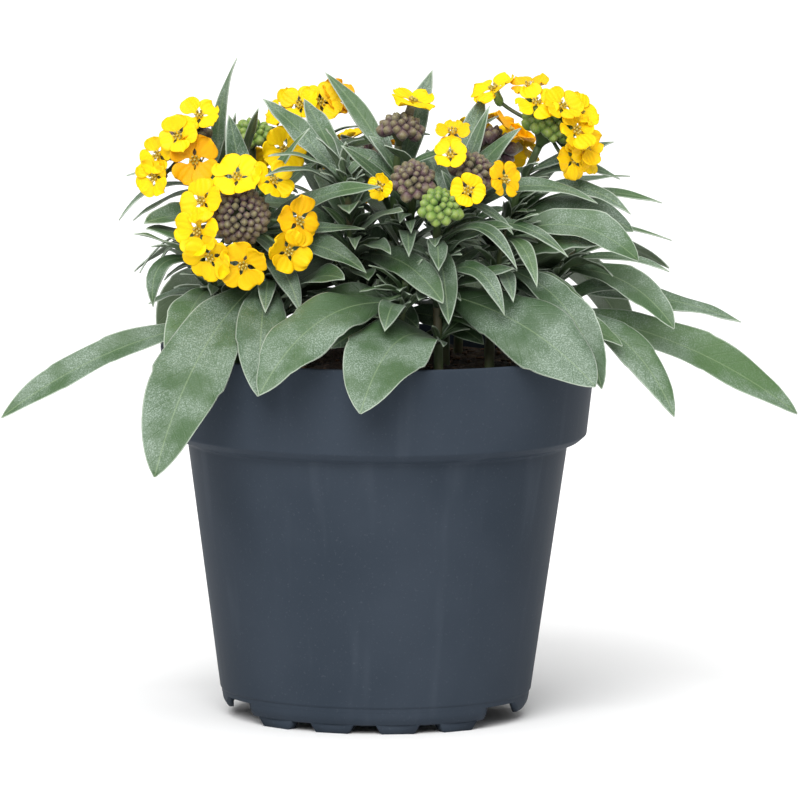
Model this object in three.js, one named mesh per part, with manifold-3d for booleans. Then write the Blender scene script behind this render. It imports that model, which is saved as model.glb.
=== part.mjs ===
// A potted wallflower: a plastic nursery pot filled with peat, and a bushy plant of many leafy
// shoots, most of them ending in a head of buds with four-petalled yellow flowers round it.
// Millimetres, +Z up. The origin is on the ground under the pot's axis, and -Y is the front.
import * as THREE from 'three';
import { mergeVertices } from 'three/addons/utils/BufferGeometryUtils.js';
import Module from 'manifold-3d';

const wasm = await Module();
wasm.setup();

// Driving dimensions of the pot. The wall runs on down as a skirt, which has four notches in it
// and stands on feet. Angles are in degrees from the front, towards +X.
const POT_HEIGHT = 111;
const RIM_RADIUS = 65.3;
const BAND_BOTTOM = 85.4;
const BAND_RADIUS = 62.6;
const BODY_TOP = 82.2;
const BODY_TOP_RADIUS = 56.9;
const BODY_BOTTOM = 8.3;
const BODY_BOTTOM_RADIUS = 46.4;
const BASE_BOTTOM = 6.5;
const SKIRT_BOTTOM = 2.6;
const SKIRT_RADIUS = 44.4;
const WALL = 1.5;
const POT_SIDES = 28;
const NOTCHES = [[-72, -54.5], [46.4, 63.8], [110, 134], [234.5, 258]];
const FEET = [-42.5, -17, 9, 34.5, 145.5, 171, 197, 222.5];
const FOOT_RING = 42.2;
const FOOT_WIDTH = 13.3;
const PAD_RADIUS = 8;
const DRAIN_COUNT = 6;
const DRAIN_RADIUS = 3.5;
const DRAIN_RING = 20;

// Driving dimensions of the peat.
const GAP = 0.35;
const PEAT_TOP = 105;
const PEAT_SIDES = 18;
const PEAT_LUMP = 1.2;
const STEM_DEPTH = 8;
const HOLE_RADIUS = 3.1;

// Driving dimensions of the plant.
const STEM_RADIUS = 1.6;
const STEM_SIDES = 4;
const LEAF_THICKNESS = 0.9;
const LEAF_FOLD = 0.3;
const PETIOLE = 1.7;
const BROAD_LEAF = 9;
const FLOWER_RADIUS = 7.1;
const PETAL_THICKNESS = 1.2;
const BUD_LENGTH = 5.2;
const BUD_RADIUS = 2.2;
const GOLDEN_ANGLE = 137.508;

// How a leaf is kept clear: the spacing of its test points, and how near they may come.
const TEST_STEP = 1.6;
const LEAF_REACH = 2.1;
const FLOWER_REACH = 2.2;
const STEM_REACH = 3;
const OWN_REACH = 1.5;
const CELL = 3.2;
const FREE_SHARE = 0.2;

const UP = new THREE.Vector3(0, 0, 1);
const FRONT = new THREE.Vector3(0, -1, 0);
const radians = THREE.MathUtils.degToRad;
const lerp = THREE.MathUtils.lerp;
const vector = (p) => new THREE.Vector3(...p);

const surface = (color, roughness) => new THREE.MeshStandardMaterial({ color, roughness, metalness: 0 });
const PLASTIC = surface(0x3b4150, 0.5);
const PEAT = surface(0x2b1c12, 1);
const LEAF = surface(0x56704f, 0.75);
const PURPLE_BUD = surface(0x5c4650, 0.7);
const GREEN_BUD = surface(0x6c9330, 0.7);
const PETAL = surface(0xfad60c, 0.6);

// The shoots. foot is where a stem leaves the peat, and crown is where it ends: the middle of its
// head of buds, or its top leaves. lean is the way the crown faces. head is the radius of the
// head. A flower is its centre, measured from the crown, and its share of the full size if it is
// smaller. A leaf is its height up the stem, its tip, its width, its arch (how far its middle
// stands above the line from root to tip) and its show (how far its upper face turns to the
// front). fill is how many more leaves the spiral rule adds, and ring is how many flowers are
// spread evenly round the head.
const SHOOTS = [
  {
    name: 'front_left', foot: [-26, -24], crown: [-41, -38, 153.5], lean: [-0.05, -0.93, 0.36],
    head: 9, bud: 'purple', fill: 6,
    flowers: [
      [-1, -3, 11.5], [9.5, -2, 10.5], [-11, -4, 4.5], [-12, -5, -4], [-8.5, -6, -11.5],
      [1, -7, -13.5], [17, -4, -1], [14, -6, -9.5],
    ],
    leaves: [
      [0.45, [-65, -76, 80], 22, 9, 1.2], [0.42, [-35, -66, 103], 15, 8, 0.9],
      [0.4, [-42, -54, 125], 6.5, 5, 1], [0.75, [-25, -48, 137], 6, 4, 1],
      [0.6, [-22, -50, 131], 7, 5, 1], [0.65, [-6, -48, 134], 8.5, 5, 1],
      [0.8, [-7, -45, 150], 4.5, 1, 0.8], [0.84, [-17, -42, 173], 4, 2, 0.6],
      [0.75, [0, -46, 159], 7, 4, 1], [0.8, [-45, -20, 182], 8, 1, 0.5],
    ],
  },
  {
    name: 'left', foot: [-34, -2], crown: [-57, 0, 171.5], lean: [-0.35, -0.5, 0.79],
    head: 6.5, bud: 'purple', fill: 5,
    flowers: [
      [3, -6, 8.5, 0.85], [-3, -12, 3, 0.85], [2, -12, -4], [-9, -8, -3, 0.85], [-10, -8, -9.5, 0.85],
    ],
    leaves: [
      [0.75, [-78, 0, 148], 3.5, 7, 0.3], [0.55, [-70, -18, 149], 9, 3, 0.9],
      [0.5, [-72, 12, 131], 3, 7, 0], [0.85, [-76, 6, 161], 3, 2, 0.3], [0.8, [-74, -4, 157], 3, 2, 0.3],
      [0.8, [-43, -14, 182], 4, -2, 0.3],
      [0.6, [-30, -9, 192], 4.5, 6, 0.5], [0.5, [-35, -12, 188], 5, 5, 0.5],
    ],
  },
  {
    name: 'back_left', foot: [-22, 14], crown: [-38, 5, 173], lean: [0.05, -0.3, 0.95],
    head: 5, bud: 'green', fill: 6,
    flowers: [[9, -9, -3]],
    leaves: [
      [0.85, [-30, -10, 183], 5, 1, 1],
    ],
  },
  {
    name: 'back', foot: [-8, 24], crown: [-20, 25, 180], lean: [0, -0.1, 1],
    head: 6, bud: 'purple', fill: 6,
    flowers: [
      [-4, -7, 1.5, 0.85], [2, -6, 2, 0.85], [7, -2, 3, 0.85], [-9, -1, 0, 0.85], [1, 8, 2, 0.85],
    ],
    leaves: [
      [0.8, [2, 4, 187], 5, 3, 0.8], [0.85, [-17, 12, 192], 5.5, 1, 0.8], [0.88, [4, 14, 191], 3, 4, 0],
      [0.85, [-35, 14, 190], 4, 1, 0.8],
      [0.45, [-25, 4, 164], 9, 3, 1.2],
    ],
  },
  {
    name: 'middle', foot: [-8, -12], crown: [-11, -22, 165], lean: [-0.2, -0.3, 0.93],
    head: 0, fill: 10,
    flowers: [],
    leaves: [
      [0.95, [-35, -12, 186], 7.5, 1, 0.9], [0.95, [-23, 12, 184], 7, 1, 0.8],
      [0.85, [-34, -52, 163], 3.5, 5, 0.6], [0.92, [-35, -44, 172], 3.5, 4, 0.5],
      [0.6, [6, -45, 162], 8, 2, 1], [0.45, [-3, -54, 137], 6.5, 4, 1], [0.5, [-10, -50, 145], 4.5, 4, 1],
      [0.48, [19, -57, 130], 11, 6, 1], [0.2, [-26, -34, 117], 9, 3, 1.3],
      [0.25, [12, -34, 120], 9, 3, 1.3],
      [0.1, [-23, -10, 125], 12, 4, 1.5],
    ],
  },
  {
    name: 'centre', foot: [4, -14], crown: [10, -28, 163], lean: [0, -0.8, 0.6],
    head: 5.5, bud: 'purple', fill: 9,
    flowers: [[-9.5, -5, -1, 0.6]],
    leaves: [
      [0.55, [-7, -54, 143], 6.5, 7, 1], [0.8, [-6, -32, 178], 5, 1, 1], [0.6, [17, -54, 144], 5.5, 6, 1],
      [0.7, [8, -52, 150], 5.5, 4, 1], [0.2, [30, -34, 118], 9, 3, 1.3],
      [0.15, [-14, -36, 114], 9, 2, 1.3],
    ],
  },
  {
    name: 'top', foot: [4, 8], crown: [6, -5, 176], lean: [0.1, -0.2, 0.97],
    head: 5.5, bud: 'purple', fill: 7,
    flowers: [[3.5, 2, 8.5]],
    leaves: [
      [0.85, [-15, 18, 194], 6, 2, 1], [0.8, [2, 22, 187], 5, 1, 1], [0.7, [19, 10, 192], 8, 1, 1],
      [0.85, [27, -5, 185], 4, 2, 1], [0.8, [27, 10, 191], 3, 1, 1],
      [0.75, [-2, 18, 190], 6, 5, 0.8], [0.25, [-8, -6, 147], 12, 3, 1.5],
    ],
  },
  {
    name: 'centre_right', foot: [20, -8], crown: [27, -25, 165.5], lean: [0.35, -0.6, 0.72],
    head: 6, bud: 'purple', fill: 9,
    flowers: [[-6, -8, 6, 0.75], [-5.5, -2, 12, 0.7], [-1, -11, -4, 0.65], [9.5, -3, -1.5, 0.75]],
    leaves: [
      [0.8, [41, -8, 196], 6.5, 1, 0.8], [0.8, [50, -20, 184], 5.5, 2, 0.8],
      [0.8, [31, -14, 187], 4.5, 1, 0.8], [0.65, [65, -18, 156], 7, 9, 0.6],
      [0.6, [56, -38, 142], 5, 7, 0.8], [0.85, [44, -36, 157], 4, 3, 0.6],
      [0.15, [46, -26, 114], 9, 3, 1.3], [0.3, [0, -28, 126], 8, 3, 1.3],
      [0.75, [31, 8, 186], 8, 2, 1], [0.7, [42, -12, 178], 7, 3, 0.8], [0.5, [14, 2, 170], 9, 3, 1.2],
    ],
  },
  {
    name: 'front_right', foot: [18, -33], crown: [18, -36, 156], lean: [0.1, -0.75, 0.65],
    head: 5, bud: 'green', fill: 10,
    flowers: [],
    leaves: [
      [0.38, [64, -60, 106], 22, 5, 1.3], [0.12, [-5, -82, 100], 24, 11, 0.9],
      [0.7, [41, -48, 142], 5, 9, 0.6], [0.45, [31, -56, 134], 6.5, 9, 0.8],
      [0.4, [40, -42, 139], 7, 1, 0.8], [0.25, [42, -48, 120], 9, 4, 1.2],
      [0.3, [2, -50, 121], 8, 3, 1.2], [0.75, [21, -57, 126], 8, 3, 1.5],
      [0.55, [9, -56, 128], 7, 4, 1.2], [0.75, [8, -52, 149], 6, 3, 1],
    ],
  },
  {
    name: 'right', foot: [33, 8], crown: [50, 0, 177], lean: [0.4, -0.2, 0.89],
    head: 8, bud: 'green', fill: 6,
    flowers: [
      [-16, 3, 11, 0.9], [-5.5, 2, 12, 0.9], [-3.5, -8, 8, 0.85], [4, -8, 7, 0.9], [9, -3, 5, 0.85],
      [8, -9, 0, 0.85], [10.5, -6, -4.5, 0.85], [7.5, -8, -8.5, 0.85], [12, -3, -8, 0.8],
    ],
    leaves: [
      [0.55, [76, 0, 146], 12, 6, 0.9], [0.5, [88, 15, 142], 3.5, 4, 0.3],
      [0.6, [85, 18, 153], 5, 5, 0.6], [0.7, [78, 28, 156], 4, 2, 0.3], [0.7, [75, -8, 152], 6, 6, 0.9],
      [0.85, [71, 5, 170], 5, 1, 0.7], [0.8, [72, 8, 161], 5, 4, 0.6],
    ],
  },
  {
    name: 'right_low', foot: [33, -18], crown: [38, -22, 149], lean: [0.2, -0.3, 0.93],
    head: 0, fill: 8,
    flowers: [],
    leaves: [
      [0.65, [65, -54, 108], 12, 9, 0.6], [0.6, [62, -36, 116], 10, 8, 0.8],
      [0.92, [77, -28, 140], 13, 7, 0.8], [0.9, [54, -44, 141], 5, 5, 0.7],
      [0.6, [45, -48, 135], 5, 4, 0.8], [0.5, [60, -28, 123], 11, 5, 0.9],
    ],
  },
  {
    name: 'right_side', foot: [46, -2], crown: [58, 0, 141], lean: [0.5, 0, 0.86],
    head: 0, fill: 7,
    flowers: [],
    leaves: [
      [0.35, [126, 4, 91], 14, 6, 1], [0.55, [109, 10, 118], 8, 3, 0.8],
      [0.75, [88, -20, 119], 11, 6, 0.8], [0.85, [85, -8, 129], 4.5, 3, 0.5],
      [0.35, [88, -32, 94], 11, 9, 0.8],
    ],
  },
  {
    name: 'front_low', foot: [4, -36], crown: [8, -42, 135], lean: [0, -0.5, 0.86],
    head: 0, fill: 7,
    flowers: [],
    leaves: [
      [0.65, [-33, -80, 100], 18, 10, 0.9], [0.55, [2, -62, 120], 8, 5, 0.8],
      [0.8, [-21, -56, 132], 5.5, -2, 1], [0.48, [12, -56, 122], 5, 3, 1],
    ],
  },
  {
    name: 'left_low', foot: [-42, -14], crown: [-54, -14, 140], lean: [-0.4, -0.1, 0.9],
    head: 0, fill: 7,
    flowers: [],
    leaves: [
      [0.3, [-112, -24, 91], 11, 5, 0.8],
      [0.6, [-60, -50, 106], 12, 8, 0.8], [0.9, [-67, -20, 124], 6, 8, 0.6],
      [0.55, [-69, 0, 123], 5, 2, 0.6], [0.95, [-66, -8, 135], 3, 5, 0.3],
    ],
  },
  {
    name: 'rear_right', foot: [24, 32], crown: [34, 42, 167], lean: [0.3, 0.55, 0.78],
    head: 7, bud: 'purple', fill: 6, ring: 5,
    flowers: [],
    leaves: [
      [0.4, [78, 64, 103], 15, 14, -0.6], [0.45, [30, 92, 101], 17, 14, -0.6],
      [0.55, [88, 40, 131], 10, 7, -0.5],
    ],
  },
  {
    name: 'rear', foot: [-4, 42], crown: [-6, 54, 161], lean: [0, 0.75, 0.66],
    head: 8, bud: 'purple', fill: 6, ring: 5,
    flowers: [],
    leaves: [
      [0.35, [-4, 96, 97], 18, 14, -0.6], [0.4, [-32, 84, 109], 14, 11, -0.6],
      [0.55, [14, 86, 127], 9, 7, -0.6],
    ],
  },
  {
    name: 'rear_left', foot: [-32, 28], crown: [-46, 38, 159], lean: [-0.45, 0.5, 0.74],
    head: 6.5, bud: 'green', fill: 6, ring: 4,
    flowers: [],
    leaves: [
      [0.35, [-64, 58, 99], 16, 14, -0.4], [0.4, [-48, 76, 97], 18, 15, -0.6],
      [0.55, [-74, 26, 130], 9, 6, -0.2],
    ],
  },
];

// The ways that a leaf may be moved to pass clear of other shoots: a share of its size, then
// degrees up and degrees sideways from where it would lie. The first that is clear is taken.
const BENDS = [];
for (const size of [1, 0.85, 0.7, 0.55]) {
  for (const turn of [0, 5, 10, 15, 22]) {
    for (const lift of turn ? [turn, -turn, 0] : [0]) {
      for (const swing of turn ? [0, turn, -turn] : [0]) {
        if (turn === 0 || lift !== 0 || swing !== 0) BENDS.push([size, lift, swing]);
      }
    }
  }
}

// A repeatable draw of numbers from 0 to 1.
class Draw {
  constructor(seed) {
    this.state = seed;
  }
  next() {
    this.state = (this.state * 16807) % 2147483647;
    return this.state / 2147483647;
  }
  between(low, high) {
    return lerp(low, high, this.next());
  }
}

// A closed three.js geometry as a solid.
function solid(geometry) {
  const bare = geometry.index ? geometry.toNonIndexed() : geometry.clone();
  bare.deleteAttribute('normal');
  bare.deleteAttribute('uv');
  const merged = mergeVertices(bare, 1e-4);
  return new wasm.Manifold(new wasm.Mesh({
    numProp: 3,
    vertProperties: merged.attributes.position.array,
    triVerts: new Uint32Array(merged.index.array),
  }));
}

// A closed geometry from its corners and its faces.
function facets(points, faces) {
  const geometry = new THREE.BufferGeometry();
  const flat = points.flatMap((p) => [...p]);
  geometry.setAttribute('position', new THREE.Float32BufferAttribute(flat, 3));
  geometry.setIndex(faces.flat());
  return geometry;
}

// A solid as a named mesh.
function meshOf(body, name, material) {
  const made = body.getMesh();
  const geometry = new THREE.BufferGeometry();
  geometry.setAttribute('position', new THREE.BufferAttribute(made.vertProperties, made.numProp));
  geometry.setIndex(new THREE.BufferAttribute(made.triVerts, 1));
  geometry.computeVertexNormals();
  const mesh = new THREE.Mesh(geometry, material);
  mesh.name = name;
  return mesh;
}

// The biggest body of a solid, without the loose scraps that a cut can leave.
function biggest(body) {
  return body.decompose().sort((a, b) => b.volume() - a.volume())[0];
}

// Turns a profile of [radius, height] points round the pot's axis.
function turned(profile, sides) {
  const points = profile.map(([r, z]) => new THREE.Vector2(r, z));
  return new THREE.LatheGeometry(points, sides).rotateX(Math.PI / 2);
}

// An upright cylinder or frustum between two heights.
function post(x, y, bottom, top, bottomRadius, topRadius, sides) {
  const geometry = new THREE.CylinderGeometry(topRadius, bottomRadius, top - bottom, sides);
  return geometry.rotateX(Math.PI / 2).translate(x, y, (top + bottom) / 2);
}

// A wedge with its point on the pot's axis, between two angles from the front. It stands on the
// ground and reaches out past the wall.
function wedge(from, to, height) {
  const sector = new THREE.Shape();
  sector.moveTo(0, 0);
  for (let i = 0; i <= 8; i++) {
    const a = radians(lerp(from, to, i / 8));
    sector.lineTo(RIM_RADIUS * Math.sin(a), -RIM_RADIUS * Math.cos(a));
  }
  return new THREE.ExtrudeGeometry(sector, { depth: height, bevelEnabled: false });
}

// The pot: a thin wall stepped out into a band under the rim, a raised base with drain holes, and
// a skirt below it with notches and feet. A round pad stands under the middle of the base.
function makePot() {
  const profile = [
    [0, BASE_BOTTOM],
    [BODY_BOTTOM_RADIUS - 0.3, BASE_BOTTOM],
    [BODY_BOTTOM_RADIUS, BODY_BOTTOM],
    [BODY_TOP_RADIUS, BODY_TOP],
    [BAND_RADIUS - 2.3, BAND_BOTTOM - 2],
    [BAND_RADIUS, BAND_BOTTOM],
    [RIM_RADIUS, POT_HEIGHT],
    [RIM_RADIUS - WALL, POT_HEIGHT],
    [BAND_RADIUS - WALL + 0.1, BAND_BOTTOM + 1.2],
    [BODY_TOP_RADIUS - WALL, BODY_TOP + 1.2],
    [BODY_BOTTOM_RADIUS - WALL, BASE_BOTTOM + WALL],
    [0, BASE_BOTTOM + WALL],
  ];
  const skirt = [
    [SKIRT_RADIUS - WALL, SKIRT_BOTTOM],
    [SKIRT_RADIUS, SKIRT_BOTTOM],
    [BODY_BOTTOM_RADIUS - 0.7, SKIRT_BOTTOM + 2],
    [BODY_BOTTOM_RADIUS - 0.3, BASE_BOTTOM + 0.4],
    [BODY_BOTTOM_RADIUS - WALL - 0.3, BASE_BOTTOM + 0.4],
    [SKIRT_RADIUS - WALL, SKIRT_BOTTOM],
  ];
  let ring = solid(turned(skirt, POT_SIDES));
  for (const [from, to] of NOTCHES) ring = ring.subtract(solid(wedge(from, to, BASE_BOTTOM + 1)));
  let pot = solid(turned(profile, POT_SIDES)).add(ring);
  for (const turn of FEET) {
    const foot = new THREE.CylinderGeometry(1, 0.75, SKIRT_BOTTOM + 0.4, 4).rotateY(Math.PI / 4);
    foot.scale(FOOT_WIDTH * Math.SQRT1_2, 1, FOOT_WIDTH * 0.2).rotateX(Math.PI / 2);
    foot.translate(0, -FOOT_RING, SKIRT_BOTTOM / 2 + 0.2).rotateZ(radians(turn));
    pot = pot.add(solid(foot));
  }
  pot = pot.add(solid(post(0, 0, 0, BASE_BOTTOM + 0.5, PAD_RADIUS, PAD_RADIUS + 1, 16)));
  for (let i = 0; i < DRAIN_COUNT; i++) {
    const drain = post(0, DRAIN_RING, BASE_BOTTOM - 1, BASE_BOTTOM + WALL + 1, DRAIN_RADIUS, DRAIN_RADIUS, 6);
    pot = pot.subtract(solid(drain.rotateZ((i * 2 * Math.PI) / DRAIN_COUNT)));
  }
  return pot;
}

// How far the peat's surface stands above its mean height at a point.
function lump(x, y) {
  return PEAT_LUMP * (Math.sin(x * 0.21 + 1.3) * Math.cos(y * 0.19) + 0.5 * Math.sin((x - y) * 0.37));
}

// The peat that fills the pot, before the stems' holes are cut.
function makePeat() {
  const side = WALL + GAP + 0.15;
  const profile = [
    [0, BASE_BOTTOM + WALL + GAP],
    [BODY_BOTTOM_RADIUS - side, BASE_BOTTOM + WALL + GAP],
    [BODY_TOP_RADIUS - side, BODY_TOP + 1.4],
    [BAND_RADIUS - side - 1, BAND_BOTTOM + 2.8],
    [BAND_RADIUS - side + 1.2, PEAT_TOP - 2],
    [52, PEAT_TOP],
    [28, PEAT_TOP + 1],
    [0, PEAT_TOP + 1],
  ];
  const geometry = turned(profile, PEAT_SIDES);
  const at = geometry.attributes.position;
  for (let i = 0; i < at.count; i++) {
    if (at.getZ(i) > PEAT_TOP - 1) at.setZ(i, at.getZ(i) + lump(at.getX(i), at.getY(i)));
  }
  return solid(geometry);
}

// A stem's line, from the bottom of its hole up to its crown, where it faces along its lean.
function stemCurve(shoot) {
  const [x, y] = shoot.foot;
  const lean = vector(shoot.lean).normalize();
  const end = vector(shoot.crown).addScaledVector(lean, -shoot.head * 0.8);
  const rise = end.z - PEAT_TOP;
  return new THREE.CubicBezierCurve3(
    new THREE.Vector3(x, y, PEAT_TOP - STEM_DEPTH),
    new THREE.Vector3(x, y, PEAT_TOP + rise * 0.45),
    end.clone().addScaledVector(lean, -rise * 0.35),
    end,
  );
}

// The point on a stem that is a share of the way from the peat to its crown.
function stemPoint(curve, height) {
  const rooted = STEM_DEPTH / (curve.v3.z - curve.v0.z);
  return curve.getPoint(lerp(rooted * 0.9, 1, height));
}

function stemSolid(curve) {
  const ring = new THREE.Shape();
  for (let i = 0; i < STEM_SIDES; i++) {
    const a = (i * 2 * Math.PI) / STEM_SIDES;
    const corner = [STEM_RADIUS * Math.cos(a), STEM_RADIUS * Math.sin(a)];
    if (i === 0) ring.moveTo(...corner);
    else ring.lineTo(...corner);
  }
  return solid(new THREE.ExtrudeGeometry(ring, { steps: 4, extrudePath: curve, bevelEnabled: false }));
}

// The half width of a leaf at a share of its length. Broad leaves are widest past the middle.
function halfWidth(leaf, t) {
  const broad = leaf.width >= BROAD_LEAF;
  const peak = broad ? 0.58 : 0.52;
  const full = broad ? 1.9 : 2;
  const [a, b] = [peak * full, (1 - peak) * full];
  const shape = (t ** a * (1 - t) ** b) / (peak ** a * (1 - peak) ** b);
  return Math.max((PETIOLE / 2) * (1 - t), (leaf.width / 2) * shape);
}

// A cut across a leaf at a share of its length: the midrib's place, the leaf's side and normal.
function leafCut(leaf, t) {
  const chord = leaf.tip.clone().sub(leaf.root).normalize();
  const rise = UP.clone().addScaledVector(chord, -UP.dot(chord)).normalize();
  const middle = leaf.root.clone().lerp(leaf.tip, 0.5).addScaledVector(rise, 2 * leaf.arch);
  const first = leaf.root.clone().lerp(middle, t);
  const second = middle.clone().lerp(leaf.tip, t);
  const tangent = second.clone().sub(first).normalize();
  const side = new THREE.Vector3().crossVectors(tangent, leaf.face).normalize();
  const normal = new THREE.Vector3().crossVectors(side, tangent);
  return { centre: first.lerp(second, t), side, normal };
}

// The point on a leaf's surface at a share of its length and a share of its half width.
function leafPoint(leaf, cut, half, across) {
  return cut.centre.clone().addScaledVector(cut.side, half * across)
    .addScaledVector(cut.normal, LEAF_FOLD * half * Math.abs(across));
}

// The shares of a leaf's length where its outline has a corner, and how much of the width is
// there. A broad leaf has a small tooth on each edge, where the outline steps in.
function leafRows(leaf) {
  if (leaf.width >= BROAD_LEAF) {
    return [[0, 1], [0.3, 1], [0.6, 1.05], [0.63, 0.96], [0.86, 1.05]];
  }
  return leaf.width >= 5 ? [[0, 1], [0.32, 1], [0.7, 1]] : [[0, 1], [0.5, 1]];
}

// A leaf as a solid: a thin blade folded up along its midrib. Its cut is a flat diamond, or a
// flat triangle on the small leaves of the spiral and the narrowest of the others.
function bladeSolid(leaf) {
  const rows = leafRows(leaf);
  const folded = leaf.listed && leaf.width >= 5;
  const points = [];
  for (const [t, share] of rows) {
    const cut = leafCut(leaf, t);
    const half = halfWidth(leaf, t) * share;
    points.push(leafPoint(leaf, cut, half, 1));
    if (folded) points.push(cut.centre.clone().addScaledVector(cut.normal, LEAF_THICKNESS / 2));
    points.push(leafPoint(leaf, cut, half, -1));
    points.push(cut.centre.clone().addScaledVector(cut.normal, -LEAF_THICKNESS / 2));
  }
  const end = points.push(leaf.tip) - 1;
  const n = end / rows.length;
  const faces = folded ? [[0, 1, 3], [1, 2, 3]] : [[0, 1, 2]];
  for (let i = 0; i < end; i++) {
    const next = i % n === n - 1 ? i - n + 1 : i + 1;
    if (i >= end - n) faces.push([i, end, next]);
    else faces.push([i, i + n, next], [next, i + n, next + n]);
  }
  return solid(facets(points, faces));
}

// A leaf moved by one of the bends, about its root.
function bent(leaf, [size, lift, swing]) {
  const reach = leaf.tip.clone().sub(leaf.root).multiplyScalar(size);
  const side = new THREE.Vector3().crossVectors(reach, UP).normalize();
  reach.applyAxisAngle(side, radians(lift)).applyAxisAngle(UP, radians(swing));
  const tip = leaf.root.clone().add(reach);
  return { ...leaf, tip, width: leaf.width * size, arch: leaf.arch * size };
}

// All the leaves of a shoot: those that are listed, then a spiral of smaller ones.
function leavesOf(shoot, curve, draw) {
  const leaves = shoot.leaves.map(([height, tip, width, arch, show]) => ({
    root: stemPoint(curve, height), tip: vector(tip), width, arch, face: vector([0, -show, 1]), listed: true,
  }));
  const phase = draw.between(0, 360);
  for (let i = 0; i < shoot.fill; i++) {
    const height = lerp(0.12, 0.88, (i + draw.next()) / shoot.fill);
    const azimuth = radians(phase + i * GOLDEN_ANGLE + draw.between(-15, 15));
    const rise = radians(lerp(0, 50, height) + draw.between(-10, 10));
    const length = lerp(44, 21, height) * draw.between(0.85, 1.15);
    const root = stemPoint(curve, height);
    const tip = root.clone().add(vector([
      length * Math.cos(rise) * Math.cos(azimuth),
      length * Math.cos(rise) * Math.sin(azimuth),
      length * Math.sin(rise),
    ]));
    const width = length * draw.between(0.22, 0.31);
    const arch = length * draw.between(0.08, 0.2);
    const face = vector([draw.between(-0.5, 0.5), draw.between(-0.8, 0.4), 1]);
    leaves.push({ root, tip, width, arch, face, listed: false });
  }
  return leaves;
}

// Right, up and out of a head, as seen from straight in front of it.
function headFrame(lean) {
  const out = vector(lean).normalize();
  const up = UP.clone().addScaledVector(out, -UP.dot(out)).normalize();
  return [new THREE.Vector3().crossVectors(up, out), up, out];
}

// The flowers of a shoot: those that are listed, which turn a little to the light at the front,
// then an even ring.
function flowersOf(shoot, draw) {
  const [right, up, out] = headFrame(shoot.lean);
  const offsets = shoot.flowers.map(([x, y, z]) => vector([x, y, z]));
  const count = shoot.ring ?? 0;
  const front = count ? 0 : 0.5;
  for (let i = 0; i < count; i++) {
    const azimuth = ((i + draw.between(-0.2, 0.2)) * 2 * Math.PI) / count;
    const spread = shoot.head * draw.between(1.1, 1.25);
    offsets.push(right.clone().multiplyScalar(spread * Math.cos(azimuth))
      .addScaledVector(up, spread * Math.sin(azimuth))
      .addScaledVector(out, draw.between(1, 5)));
  }
  return offsets.map((offset, i) => ({
    centre: vector(shoot.crown).add(offset),
    facing: offset.clone().normalize().addScaledVector(out, 0.75).addScaledVector(FRONT, front).normalize(),
    spin: draw.between(0, 90),
    radius: FLOWER_RADIUS * (shoot.flowers[i]?.[3] ?? 1) * draw.between(0.88, 1.05),
  }));
}

// Puts a geometry that faces +Z at a point, facing a direction, after a turn about its own axis.
function placed(geometry, centre, facing, spin = 0) {
  geometry.rotateZ(radians(spin));
  geometry.applyQuaternion(new THREE.Quaternion().setFromUnitVectors(UP, facing));
  return geometry.translate(...centre);
}

// Four petals, each a lobe with four corners. grow thickens their edges, to cut what lies below.
function flowerSolid(flower, grow = 0) {
  const lobe = [[0, 0.42, 0], [17, 0.9, 0.04], [45, 1.05, 0.12], [73, 0.9, 0.04]];
  const outline = [0, 90, 180, 270].flatMap((turn) => lobe.map(([a, r, z]) => {
    const reach = flower.radius * r + grow;
    const angle = radians(turn + a);
    return [reach * Math.cos(angle), reach * Math.sin(angle), flower.radius * z];
  }));
  const n = outline.length;
  const points = outline.map(([x, y, z]) => [x, y, z + grow]);
  if (grow) points.push(...outline.map(([x, y, z]) => [x, y, z - grow]));
  const under = grow ? n : 0;
  const top = points.push([0, 0, PETAL_THICKNESS / 2 + grow]) - 1;
  const bottom = points.push([0, 0, -PETAL_THICKNESS / 2 - grow]) - 1;
  const faces = [];
  for (let i = 0; i < n; i++) {
    const j = (i + 1) % n;
    faces.push([top, i, j], [bottom, under + j, under + i]);
    if (grow) faces.push([i, under + i, under + j], [i, under + j, j]);
  }
  return solid(placed(facets(points, faces), flower.centre, flower.facing, flower.spin));
}

// A tapered stalk between two points, with few sides.
function stalk(from, to, fromRadius, toRadius, sides = 4) {
  const reach = to.clone().sub(from);
  const geometry = new THREE.CylinderGeometry(toRadius, fromRadius, reach.length(), sides, 1);
  geometry.rotateX(Math.PI / 2);
  return solid(placed(geometry, from.clone().addScaledVector(reach, 0.5), reach.normalize()));
}

// A closed bud: a spindle with three sides.
function budSolid(root, facing, size) {
  const geometry = new THREE.SphereGeometry(1, 3, 2).rotateX(Math.PI / 2);
  geometry.scale(BUD_RADIUS * size, BUD_RADIUS * size, (BUD_LENGTH / 2) * size);
  return solid(placed(geometry, root.clone().addScaledVector(facing, BUD_LENGTH * size * 0.35), facing));
}

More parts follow.
